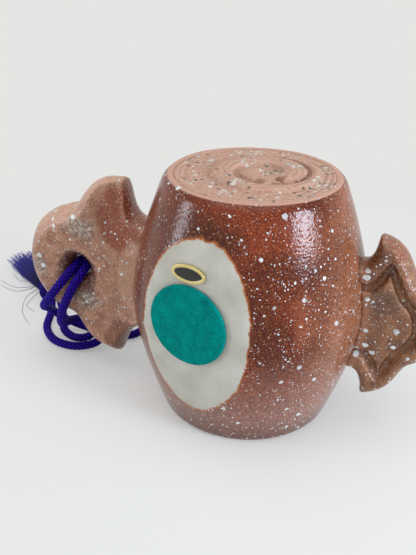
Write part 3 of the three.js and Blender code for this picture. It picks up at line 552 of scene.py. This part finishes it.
def rayon_yarn(name, deep, bright, gloss):
    # Rayon yarn: violet and silky where a strand stands out, with painted shade that turns nearly black in
    # the gaps between strands.
    # The filaments are too fine to show, so they are drawn 0.4 mm wide
    material, tree, shader, place = new_material(name)
    crest = add_node(tree, "Attribute", {}, "Fac", attribute_name="crest")
    filaments = add_node(tree, "TexNoise", {0: place, "Scale": 1 / (0.4 * MM), "Detail": 3})
    # Painted shade: darker where a point lies low between strands and between the windings of the tassel's
    # head
    crest_shade = add_node(tree, "Math", {0: filaments, 1: 0.4, 2: crest}, operation="MULTIPLY_ADD")
    tint = add_node(tree, "MapRange", {0: crest_shade, 1: 0.6, 2: 1.2})
    base = add_node(tree, "Mix", {0: tint, 6: deep, 7: bright}, 2, data_type="RGBA")
    bump = add_node(tree, "Bump", {"Height": filaments, "Strength": 0.35, "Distance": 0.15 * MM})
    feed(tree, shader, {"Base Color": base, "Normal": bump, "Roughness": 0.5, "Specular IOR Level": gloss})
    return material


def seen_directly(tree):
    """1 for rays that show a background as it is: from the camera, mirrored or through glass."""
    camera = add_node(tree, "LightPath", {}, "Is Camera Ray")
    mirrored = camera.node.outputs["Is Glossy Ray"]
    through = camera.node.outputs["Is Transmission Ray"]
    seen = add_node(tree, "Math", {0: camera, 1: mirrored}, operation="MAXIMUM")
    return add_node(tree, "Math", {0: seen, 1: through}, operation="MAXIMUM")


def floor_paper():
    # Matt background paper, uncoated: near white with no gloss. By the object some of the pale room shows
    # in it, which lightens the shadow, and farther away it fades into the room
    material, tree, shader, place = new_material("uncoated_background_paper")
    uneven = add_node(tree, "TexNoise", {0: place, "Scale": 1 / (60 * MM), "Detail": 3})
    base = add_node(tree, "Mix", {0: uneven, 6: "#e6e8e9", 7: "#eaebeb"}, 2, data_type="RGBA")
    feed(tree, shader, {"Base Color": base, "Roughness": 0.9, "Specular IOR Level": 0.1})
    far = add_node(tree, "VectorMath", {0: place}, "Value", operation="LENGTH")
    away = add_node(tree, "MapRange", {0: far, 1: FLOOR_NEAR, 2: FLOOR_FAR, 3: FLOOR_HAZE, 4: 1.0})
    faded = add_node(tree, "Math", {0: away, 1: seen_directly(tree)}, operation="MULTIPLY")
    room = add_node(tree, "Emission", {0: PALE_ROOM})
    shown = add_node(tree, "MixShader", {0: faded, 1: shader.outputs[0], 2: room})
    feed(tree, tree.nodes["Material Output"], {"Surface": shown})
    return material


# Camera and studio

def make_camera():
    deselect()
    bpy.ops.object.camera_add(location=CAMERA_PLACE)
    camera = bpy.context.object
    turn = Matrix.Rotation(math.radians(CAMERA_TURN), 3, "Z")
    tilt = Matrix.Rotation(math.radians(90 - CAMERA_TILT), 3, "X")
    roll = Matrix.Rotation(math.radians(CAMERA_ROLL), 3, "Z")
    camera.rotation_euler = (turn @ tilt @ roll).to_euler()
    camera.data.sensor_width = SENSOR_SIZE
    camera.data.lens = FOCAL_LENGTH * SENSOR_SIZE / PHOTO_HEIGHT
    bpy.context.scene.camera = camera


def make_studio():
    """A pale paper floor, a window on the right, two weaker lights and a pale room."""
    deselect()
    bpy.ops.mesh.primitive_plane_add(size=FLOOR_SIZE)
    floor = bpy.context.object
    floor.name = "paper_floor"
    floor.data.materials.append(floor_paper())

    for name, place, width, height, power, spread, tint in LAMPS:
        bpy.ops.object.light_add(type="AREA", location=place)
        lamp = bpy.context.object
        lamp.name = name
        lamp.data.shape = "RECTANGLE"
        lamp.data.size = width
        lamp.data.size_y = height
        lamp.data.energy = power
        lamp.data.spread = math.radians(spread)
        lamp.data.color = colour(tint)[:3]
        lamp.rotation_euler = (LAMP_TARGET - Vector(place)).to_track_quat("-Z", "Y").to_euler()

    world = bpy.data.worlds.new("pale_room")
    world.use_nodes = True
    tree = world.node_tree
    strength = add_node(tree, "MapRange", {0: seen_directly(tree), 3: ROOM_LIGHT, 4: 1.0})
    feed(tree, tree.nodes["Background"], {"Color": PALE_ROOM, "Strength": strength})
    bpy.context.scene.world = world
    bpy.context.scene.view_settings.view_transform = "Standard"


# Cord and tassel

def beside_tassel(along, aside, height):
    """A point laid out from where the cord meets the tassel's head, in millimetres."""
    turn = Matrix.Rotation(TASSEL_BEARING, 3, "Z")
    return (turn @ Vector((along, aside, height)) + Vector((*TASSEL_PLACE, 0))) * MM


def smooth_line(points, steps):
    """A centripetal curve through the points, as the CAD tube follows."""
    ends = [2 * points[0] - points[1], *points, 2 * points[-1] - points[-2]]
    line = []
    for before, start, end, after in zip(ends, ends[1:], ends[2:], ends[3:]):
        near = (start - before).length ** 0.5
        span = (end - start).length ** 0.5
        far = (after - end).length ** 0.5
        leave = ((start - before) / near - (end - before) / (near + span) + (end - start) / span) * span
        arrive = ((end - start) / span - (after - start) / (span + far) + (after - end) / far) * span
        for step in range(steps):
            t = step / steps
            line.append(
                start * (2 * t**3 - 3 * t**2 + 1) + leave * (t**3 - 2 * t**2 + t)
                + end * (3 * t**2 - 2 * t**3) + arrive * (t**3 - t**2)
            )
    return [*line, points[-1]]


def evenly_spaced(line, step):
    """Points along a line, a step apart."""
    spaced = [line[0]]
    carried = 0.0
    for start, end in zip(line, line[1:]):
        length = (end - start).length
        while carried + length >= step:
            start = start.lerp(end, (step - carried) / length)
            spaced.append(start)
            length = (end - start).length
            carried = 0.0
        carried += length
    return spaced


def tube_mesh(name, lines, sides, surface):
    """Closed tubes along lines, with how much of a crest each point is kept as an attribute.

    surface(walked, share, angle) gives the radius and the crest at a distance and a share along a line.
    """
    points = []
    faces = []
    crests = []
    for line in lines:
        aside = ANY_SIDE
        first = len(points)
        walked = 0.0
        for i, place in enumerate(line):
            ahead = (line[min(i + 1, len(line) - 1)] - line[max(i - 1, 0)]).normalized()
            aside = (aside - aside.dot(ahead) * ahead).normalized()
            above = ahead.cross(aside)
            walked += (place - line[max(i - 1, 0)]).length
            for k in range(sides):
                angle = 2 * math.pi * k / sides
                radius, crest = surface(walked, i / (len(line) - 1), angle)
                points.append(place + radius * (math.cos(angle) * aside + math.sin(angle) * above))
                crests.append(crest)
        for i in range(len(line) - 1):
            low = first + i * sides
            high = low + sides
            for k in range(sides):
                j = (k + 1) % sides
                faces.append((low + k, low + j, high + j, high + k))
        faces.append(tuple(first + k for k in reversed(range(sides))))
        faces.append(tuple(len(points) - sides + k for k in range(sides)))
    mesh = bpy.data.meshes.new(name)
    mesh.from_pydata(points, [], faces)
    mesh.attributes.new("crest", "FLOAT", "POINT").data.foreach_set("value", crests)
    piece = bpy.data.objects.new(name, mesh)
    bpy.context.scene.collection.objects.link(piece)
    return piece


def braid(walked, share, angle):
    """A round braid's surface: strands that wind both ways and cross over and under."""
    wind = 2 * math.pi * walked / BRAID_PITCH
    one = math.cos(BRAID_STRANDS * (angle - wind) / 2)
    other = math.cos(BRAID_STRANDS * (angle + wind) / 2)
    over = abs(one) ** BRAID_FULLNESS * (BRAID_LEVEL + BRAID_SWAY * math.copysign(other, one * other))
    under = abs(other) ** BRAID_FULLNESS * (BRAID_LEVEL - BRAID_SWAY * math.copysign(one, one * other))
    crest = max(over, under)
    return BRAID_RADIUS - BRAID_RELIEF * (1 - crest), crest


def make_cord(yarn):
    """The braided cord, from the tassel through the handle and back: the piece and its middle line."""
    aside = CORD_SPACING / 2
    before = -KNOT_GAP - CORD_DIAMETER / MM
    route = [
        beside_tassel(-KNOT_GAP, -aside, TASSEL_AXIS_HEIGHT),
        beside_tassel(before, -aside, TASSEL_AXIS_HEIGHT),
        *[Vector(point) * MM for point in CORD_ROUTE],
        beside_tassel(before, aside, TASSEL_AXIS_HEIGHT),
        beside_tassel(-KNOT_GAP, aside, TASSEL_AXIS_HEIGHT),
    ]
    line = evenly_spaced(smooth_line(route, steps=60), BRAID_STEP)
    cord = tube_mesh("cord", [line], BRAID_SIDES, braid)
    finish_piece(cord, "braided_cord", ["hanging_cord"], "purple_yarn", yarn)
    return cord, line


def thrown(profile, sides):
    """A turned body: the profile's (radius, height) pairs are drawn as a line and spun, as on a wheel."""
    deselect()
    bpy.context.tool_settings.mesh_select_mode = (True, False, False)
    bpy.ops.mesh.primitive_plane_add(size=MM)
    body = bpy.context.object
    radius, height = profile[0]
    bpy.ops.object.mode_set(mode="EDIT")
    bpy.ops.mesh.merge(type="CENTER")
    bpy.ops.transform.translate(value=(radius, 0, height))
    for next_radius, next_height in profile[1:]:
        step = (next_radius - radius, 0, next_height - height)
        bpy.ops.mesh.extrude_vertices_move(TRANSFORM_OT_translate={"value": step})
        radius, height = next_radius, next_height
    bpy.ops.mesh.select_all(action="SELECT")
    bpy.ops.mesh.spin(steps=sides, angle=2 * math.pi, center=(0, 0, 0), axis=(0, 0, 1))
    bpy.ops.object.mode_set(mode="OBJECT")
    merge_points(body)
    return body


def closed_ends(body):
    """Fills the open rings of a turned body."""
    pick(body)
    bpy.ops.object.mode_set(mode="EDIT")
    bpy.ops.mesh.select_all(action="DESELECT")
    bpy.ops.mesh.select_mode(type="EDGE")
    bpy.ops.mesh.select_non_manifold()
    bpy.ops.mesh.edge_face_add()
    bpy.ops.mesh.select_mode(type="VERT")
    bpy.ops.object.mode_set(mode="OBJECT")


# Tassel, in millimetres
HEAD_RADIUS = 4.4
HEAD_LENGTH = 7.5
NECK_RADIUS = 3.4
NECK_LENGTH = 3
HEAD_SIDES = 40
HEAD_SHAPE = (  # distance along the tassel, and radius
    (0, 3.0), (1.2, 3.9), (2.6, HEAD_RADIUS), (5.2, HEAD_RADIUS), (HEAD_LENGTH, NECK_RADIUS),
    (HEAD_LENGTH + NECK_LENGTH, NECK_RADIUS),
)
WINDING_PITCH = 0.75
WINDING_RELIEF = 0.22
WINDING_STEPS = 6  # in one turn of the yarn
WINDING_SHADE = 0.7  # wound yarn is a little darker than the cord


def make_tassel_head(yarn):
    """The yarn wound round the cord's ends: a fat knob and a bound neck."""
    length = HEAD_SHAPE[-1][0]
    profile = []
    crests = []
    steps = int(length / WINDING_PITCH * WINDING_STEPS)
    for step in range(steps + 1):
        along = length * step / steps
        start, end = next((a, b) for a, b in zip(HEAD_SHAPE, HEAD_SHAPE[1:]) if along <= b[0] + 1e-9)
        share = (along - start[0]) / (end[0] - start[0])
        radius = start[1] + (end[1] - start[1]) * share
        crest = abs(math.sin(math.pi * along / WINDING_PITCH))
        profile.append(((radius - WINDING_RELIEF * (1 - crest)) * MM, along * MM))
        crests.append(crest)
    head = thrown(profile, HEAD_SIDES)
    closed_ends(head)
    attribute = head.data.attributes.new("crest", "FLOAT", "POINT")
    for point, value in zip(head.data.vertices, attribute.data):
        step = round(point.co.z / (length * MM) * steps)
        value.value = WINDING_SHADE * crests[min(steps, step)]
    head.rotation_euler = (0, math.pi / 2, TASSEL_BEARING)
    head.location = beside_tassel(0, 0, TASSEL_AXIS_HEIGHT)
    merge_points(head)
    return finish_piece(head, "wound_tassel_head", ["tassel_head"], "purple_yarn", yarn)


FRINGE_STRANDS = 520
FRINGE_STEPS = 8
FRINGE_LENGTH = 37
FRINGE_TUCK = 0.8  # how far the threads start inside the neck
FRINGE_HALF_WIDTH = 6.2
FRINGE_HALF_HEIGHT = 3.2
FRINGE_AXIS_HEIGHT = FRINGE_HALF_HEIGHT + 0.4  # of the fanned end
FRINGE_TOP = 7.6
FRINGE_BOTTOM = 0.45
BUNDLE_RADIUS = 0.86 * NECK_RADIUS  # of the threads where the neck binds them
THREAD_RADIUS = 0.15
THREAD_TAPER = 0.5
ROOT_SHADE = 0.35  # a thread is dark where it leaves the neck and brighter at its tip
TIP_SHADE = 0.75
STRAYS = [  # threads that lie loose on the ground, in millimetres
    [(-106, 36, 5), (-113, 34, 3.2), (-121, 36, 0.7), (-131, 39.6, 0.4)],
    [(-106, 36, 5), (-114, 31, 2.6), (-122, 33.5, 0.6), (-130, 36.4, 0.4)],
    [(-105, 35.4, 5), (-109, 28, 2.6), (-106, 19, 0.6), (-97, 10.4, 0.4)],
    [(-105, 35.4, 4), (-107, 29, 1.8), (-107, 24, 0.5), (-101, 20.6, 0.4)],
    [(-106, 37, 5), (-115, 40, 3), (-121, 41, 1.4), (-129, 46.6, 0.5)],
]


def make_fringe(yarn):
    """Cut rayon threads that fan out on the ground from the bound neck, with a few strays."""
    chance = random.Random(8)
    start = HEAD_LENGTH + NECK_LENGTH - FRINGE_TUCK
    lines = []
    for _ in range(FRINGE_STRANDS):
        turn = chance.uniform(0, 2 * math.pi)
        out = math.sqrt(chance.random())
        aside = out * math.cos(turn)
        above = out * math.sin(turn)
        length = FRINGE_LENGTH * chance.uniform(0.72, 1.0)
        fan = chance.uniform(0.85, 1.15)
        ripple = chance.uniform(0.2, 0.6)
        phase = chance.uniform(0, 2 * math.pi)
        line = []
        for step in range(FRINGE_STEPS + 1):
            share = step / FRINGE_STEPS
            spread = math.sin(share * math.pi / 2)
            side = aside * (BUNDLE_RADIUS + (FRINGE_HALF_WIDTH * fan - BUNDLE_RADIUS) * spread)
            axis = TASSEL_AXIS_HEIGHT + (FRINGE_AXIS_HEIGHT - TASSEL_AXIS_HEIGHT) * spread
            height = axis + above * (BUNDLE_RADIUS + (FRINGE_HALF_HEIGHT - BUNDLE_RADIUS) * spread)
            side += ripple * spread * math.sin(phase + 7 * share)
            height += 0.5 * ripple * spread * math.sin(2 * phase + 6 * share)
            height = min(max(height, FRINGE_BOTTOM), FRINGE_TOP)
            line.append(beside_tassel(start + (length + FRINGE_TUCK) * share, side, height))
        lines.append(line)
    for stray in STRAYS:
        lines.append(smooth_line([Vector(point) * MM for point in stray], steps=5))

    def thread(walked, share, angle):
        radius = THREAD_RADIUS * MM * (1 - THREAD_TAPER * share)
        return radius, ROOT_SHADE + (TIP_SHADE - ROOT_SHADE) * share

    fringe = tube_mesh("fringe", lines, sides=3, surface=thread)
    return finish_piece(fringe, "rayon_fringe", ["tassel_fringe"], "purple_yarn", yarn)


# Clay body

def barrel_radius(height):
    from_middle = abs(2 * height / BARREL_HEIGHT - 1)
    return BARREL_RADIUS - (BARREL_RADIUS - END_RADIUS) * from_middle ** BARREL_SWELL


LARGEST_POWER = 40.0  # keeps the exponential in range


def make_barrel(clay):
    """The thrown barrel, with rounded rims, a recess for each end disc and a side that is paddled flat."""
    mouth = DISC_RADIUS + JOINT_WIDTH
    ledge = DISC_THICKNESS + JOINT_WIDTH
    edge = barrel_radius(RIM_ROUNDING) - RIM_ROUNDING
    low = [(mouth, ledge)]
    for out, up in MOUTH_LIP:
        low.append((mouth + out * MM, up * MM))
    for step in range(RIM_STEPS + 1):
        share = step / RIM_STEPS
        bow = share * (1 - share)
        out = share + RIM_BOW_OUT * bow
        up = share - RIM_BOW_DOWN * bow
        low.append((edge + RIM_ROUNDING * out, RIM_ROUNDING * up))
    side = BARREL_HEIGHT - 2 * RIM_ROUNDING
    heights = [RIM_ROUNDING + side * k / BARREL_BANDS for k in range(1, BARREL_BANDS)]
    belly = [(barrel_radius(height), height) for height in heights]
    high = [(radius, BARREL_HEIGHT - height) for radius, height in reversed(low)]
    throat = [(THROAT_RADIUS, BARREL_HEIGHT - ledge), (THROAT_RADIUS, ledge), (mouth, ledge)]
    barrel = thrown([*low, *belly, *high, *throat], BARREL_SIDES)
    for point in barrel.data.vertices:
        past = (point.co.dot(foot_normal) - FOOT_DISTANCE) / FOOT_SOFTNESS
        past = max(-LARGEST_POWER, min(LARGEST_POWER, past))
        point.co -= foot_normal * (FOOT_SOFTNESS * math.log1p(math.exp(past)))
    hand_worked(barrel, swing=22 * MM, strength=0.3 * MM)
    return finish_piece(barrel, "thrown_barrel", ["barrel_shell"], "glazed_clay", clay, angle=24)


def softened(copy, voxel, rounds):
    """Clay edges worn round by wet fingers: fine even faces, relaxed."""
    apply_modifier(copy, "REMESH", mode="VOXEL", voxel_size=voxel)
    apply_modifier(copy, "SMOOTH", factor=0.5, iterations=rounds)


GOUGE_FACES = (  # three corners of each of the gouge's two faces, in millimetres
    ((-56, -7, 62), (-42.3, -7, 48.8), (-46.5, -2.8, 71.7)),
    ((-46.5, -2.8, 71.7), (-43.8, -5.6, 57), (-40.2, -3.8, 75.7)),
)
GOUGE_MIDDLE = (-42, -12, 64)
GOUGE_SIZE = 30


def gouge_horn(plaque):
    """Cuts a horn's front face away in two slanting faces that meet in a crease."""
    deselect()
    bpy.ops.mesh.primitive_cube_add(size=GOUGE_SIZE * MM, location=Vector(GOUGE_MIDDLE) * MM)
    cutter = bpy.context.object
    bpy.ops.object.transform_apply(location=True)
    bpy.ops.object.mode_set(mode="EDIT")
    for corners in GOUGE_FACES:
        first, second, third = [Vector(crevice_shade) * MM for crevice_shade in corners]
        facing = (second - first).cross(third - first).normalized()
        if facing.y > 0:
            facing.negate()
        bpy.ops.mesh.select_all(action="SELECT")
        bpy.ops.mesh.bisect(plane_co=first, plane_no=facing, use_fill=True, clear_inner=True)
    bpy.ops.object.mode_set(mode="OBJECT")
    merge_points(cutter)
    apply_modifier(plaque, "BOOLEAN", object=cutter, operation="DIFFERENCE", solver="EXACT")
    bpy.data.objects.remove(cutter)


RIM_FROM_BARREL = 2 * MM  # a plaque's rim starts this far from the barrel
RIM_FROM_HOLE = 12 * MM  # and this far from the cord hole's middle
RIM_BAND = 1 * MM  # half the width of the band of points that trace it


def round_edges(plaque, rounding, edge_share):
    """Rolls a plaque's rim: its thickness falls to a share towards the outer edge."""
    rim = KDTree(len(plaque.data.vertices))
    for point in plaque.data.vertices:
        place = point.co
        outside = math.hypot(place.x, place.y) - barrel_radius(place.z) > RIM_FROM_BARREL
        hole = math.hypot(place.x - CORD_HOLE[0], place.z - CORD_HOLE[1]) < RIM_FROM_HOLE
        away = point.normal.x * math.copysign(1, place.x) > -0.15
        upright = abs(point.normal.y) < 0.5
        if outside and away and upright and not hole and abs(place.y) < RIM_BAND:
            rim.insert((place.x, 0, place.z), point.index)
    rim.balance()
    for point in plaque.data.vertices:
        from_edge = rim.find((point.co.x, 0, point.co.z))[2]
        short = 1 - min(1.0, from_edge / rounding)
        point.co.y *= edge_share + (1 - edge_share) * math.sqrt(1 - short**2)


HANDLE_PULLS = (  # where the clay was pulled out of line: place, reach and way in millimetres
    (-54.5, 70.5, 11, -0.7, 1.5), (-38.5, 64, 9, -1.6, -0.8), (-63.5, 64.5, 3.5, 0.3, -0.6),
)
TAIL_PULLS = (
    (37, 63, 7, 0, -2.4), (36.5, 18.5, 7, 0, 2), (41, 11, 5, -0.7, -0.8),
)


def make_plaque(node, name, clay, rounding, edge_share, rounds, pulls):
    """A handle or tail, with its rim rolled, pulled a little out of line and smoothed onto the barrel."""
    plaque = node_copy(node)
    softened(plaque, voxel=0.6 * MM, rounds=2)
    round_edges(plaque, rounding, edge_share)
    if node == "handle_plaque":
        gouge_horn(plaque)
    softened(plaque, voxel=0.45 * MM, rounds=rounds)
    hand_worked(plaque, swing=11 * MM, strength=0.5 * MM)
    moves = []
    for point in plaque.data.vertices:
        place = point.co
        gap = math.hypot(place.x, place.y) - barrel_radius(place.z)
        near = max(0.0, 1 - max(gap, 0.0) / SLIP_REACH) ** 2
        flare = Vector((0, point.normal.y, point.normal.z)) * SLIP_FLARE
        move = (flare - Vector((place.x, place.y, 0)).normalized() * SLIP_BITE) * near
        free = min(1.0, max(gap, 0.0) / PULL_CLEARANCE)
        for x, z, reach, aside, up in pulls:
            far = math.hypot(place.x - x * MM, place.z - z * MM) / (reach * MM)
            move += Vector((aside * free, 0, up)) * MM * max(0.0, 1 - far**2) ** 2
        moves.append(move)
    for point, move in zip(plaque.data.vertices, moves):
        point.co += move
    return finish_piece(plaque, name, [node], "glazed_clay", clay)


RELIEF_HEIGHT = 1.5 * MM
RELIEF_RUN = 1.1 * MM  # how much of the CAD relief's own rise gives the full height
RELIEF_STEEPNESS = 0.6
RELIEF_FOOT = BARREL_HEIGHT + 0.08 * MM  # just above the disc's own face
SNAKE_SINK = 1.2 * JOINT_WIDTH  # closes the joint under the snake
TOP_SKIN = 0.5 * MM  # how deep below the face the lumps and dents move the clay
DISC_EDGE = 0.8 * MM  # the band of the disc that slip spreads into the joint round it
MOUNDS = (  # lumps and dents on the snake: place, reach and height in millimetres
    (6.2, -9.4, 2, 1), (12.4, -5.6, 2.2, 1), (3.9, -9, 1.8, -1.5), (9.8, -5.5, 1.9, -1.5),
)


def make_upper_end(clay):
    """The disc that closes the barrel, with the coiled snake modelled onto it."""
    disc = node_copy("upper_end_disc")
    snake = node_copy("snake_relief")
    for point in snake.data.vertices:
        point.co.z -= SNAKE_SINK
    pick(disc)
    snake.select_set(True)
    bpy.ops.object.join()
    softened(disc, voxel=0.32 * MM, rounds=2)
    for point in disc.data.vertices:
        rise = (point.co.z - RELIEF_FOOT) / RELIEF_RUN
        if rise > 0:
            point.co.z = RELIEF_FOOT + RELIEF_HEIGHT * min(1.0, rise) ** RELIEF_STEEPNESS
        if point.co.z > BARREL_HEIGHT - TOP_SKIN:
            for x, y, reach, lift in MOUNDS:
                far = math.hypot(point.co.x - x * MM, point.co.y - y * MM) / (reach * MM)
                point.co.z += lift * MM * math.sqrt(max(0.0, 1 - far**2))
        wide = math.hypot(point.co.x, point.co.y)
        if wide > DISC_RADIUS - DISC_EDGE:
            point.co.xy *= (wide + JOINT_WIDTH) / wide
    apply_modifier(disc, "SMOOTH", factor=0.5, iterations=2)
    hand_worked(disc, swing=7 * MM, strength=0.3 * MM)
    return finish_piece(disc, "upper_end", ["upper_end_disc", "snake_relief"], "dry_clay", clay)


# Trimmings on the foot
GLUE_THICKNESS = 0.1 * MM
FELT_SIDE = -2.2 * MM
FELT_HEIGHT = 44 * MM
FELT_RADIUS = 13.3 * MM
FELT_THICKNESS = 1.2 * MM
FELT_SIDES = 120
LABEL_RISE = 17.05 * MM  # from the felt's middle to the label's
LABEL_HALF_LENGTH = 5.8 * MM
LABEL_HALF_WIDTH = 2.95 * MM
LABEL_THICKNESS = 0.6 * MM
LABEL_SIDES = 96
LABEL_RIM = 0.95 * MM
LABEL_STEPS = (  # the rim, the step down and the pillowed middle: width and rise
    (LABEL_RIM, 0), (0.18 * MM, -0.22 * MM), (0.5 * MM, 0.06 * MM),
)
BLACK_SHARE = 0.96  # of the oval inside the rim, by area


def on_foot(piece, side, height, thickness):
    """Lays a piece that was made flat on the ground against the foot, its top outwards, on a film of glue."""
    out = FOOT_DISTANCE + thickness / 2 + GLUE_THICKNESS
    piece.location = foot_normal * out + foot_across * side + Vector((0, 0, height))
    piece.rotation_euler = (math.pi / 2, 0, -FOOT_BEARING)


def make_felt(wool):
    """A die-cut felt disc with a soft matted edge, glued to the foot."""
    deselect()
    bpy.ops.mesh.primitive_cylinder_add(vertices=FELT_SIDES, radius=FELT_RADIUS, depth=FELT_THICKNESS)
    felt = bpy.context.object
    apply_modifier(felt, "BEVEL", width=0.3 * MM, segments=3)
    softened(felt, voxel=0.3 * MM, rounds=3)
    hand_worked(felt, swing=0.7 * MM, strength=0.16 * MM)
    on_foot(felt, FELT_SIDE, FELT_HEIGHT, FELT_THICKNESS)
    return finish_piece(felt, "felt_pad", ["felt_foot_pad"], "green_felt", wool)


def make_label(gold, black):
    """An oval of stamped foil: a raised gold rim round a bare black middle."""
    deselect()
    bpy.ops.mesh.primitive_cylinder_add(vertices=LABEL_SIDES, radius=1, depth=LABEL_THICKNESS)
    label = bpy.context.object
    label.scale = (LABEL_HALF_LENGTH, LABEL_HALF_WIDTH, 1)
    bpy.ops.object.transform_apply(scale=True)
    select_faces(label, lambda face: face.normal.z > 0.9)
    for width, rise in LABEL_STEPS:
        bpy.ops.mesh.inset(thickness=width, depth=rise)
    bpy.ops.object.mode_set(mode="OBJECT")
    apply_modifier(label, "BEVEL", width=0.16 * MM, segments=3, angle_limit=math.radians(35))
    merge_points(label)
    label.data.materials.append(gold)
    label.data.materials.append(black)
    inner_length = LABEL_HALF_LENGTH - LABEL_RIM
    inner_width = LABEL_HALF_WIDTH - LABEL_RIM
    for face in label.data.polygons:
        middle = face.center
        inside = (middle.x / inner_length) ** 2 + (middle.y / inner_width) ** 2 < BLACK_SHARE
        face.material_index = 1 if inside and middle.z > 0 else 0
    on_foot(label, FELT_SIDE, FELT_HEIGHT + LABEL_RISE, LABEL_THICKNESS)
    return finish_piece(label, "oval_foil_label", ["foil_label"], "gold_foil", angle=40)


make_camera()
make_studio()

yarn = rayon_yarn("braided_rayon_yarn", deep="#050018", bright="#310bb8", gloss=0.06)
cord, cord_line = make_cord(yarn)
head = make_tassel_head(yarn)
fringe = make_fringe(rayon_yarn("cut_rayon_yarn", deep="#0e0c40", bright="#6059dc", gloss=0.2))

dry_clay = dry_stoneware()
make_barrel(barrel_stoneware())
make_upper_end(dry_clay)
lower_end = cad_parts["lower_end_disc"]
lower_end.data.materials.clear()
lower_end.data.materials.append(dry_clay)

handle_clay = plaque_stoneware(
    "glazed_stoneware_handle", light="#b08067", dark="#90614a", top_light_and_bloom=0.85,
    pools_and_shading=HANDLE_POOLS_AND_SHADING, crusts=HANDLE_CRUSTS, pebbles=HANDLE_PEBBLES,
)
tail_clay = plaque_stoneware(
    "glazed_stoneware_tail", light="#946342", dark="#6a412a", top_light_and_bloom=0.2,
    pools_and_shading=TAIL_POOLS, crusts=(), pebbles=TAIL_PEBBLES,
)
make_plaque(
    "handle_plaque", "handle", handle_clay, rounding=5.5 * MM, edge_share=0.5, rounds=4, pulls=HANDLE_PULLS,
)
make_plaque(
    "tail_plaque", "tail", tail_clay, rounding=3.2 * MM, edge_share=0.7, rounds=3, pulls=TAIL_PULLS,
)
make_felt(wool_felt())
make_label(
    stamped_foil("stamped_gold_foil", tone="#f0e2a6", deep="#cdb668", metallic=1.0, roughness=0.3),
    stamped_foil("black_lacquered_foil", tone="#262722", deep="#161713", metallic=0.0, roughness=0.3),
)
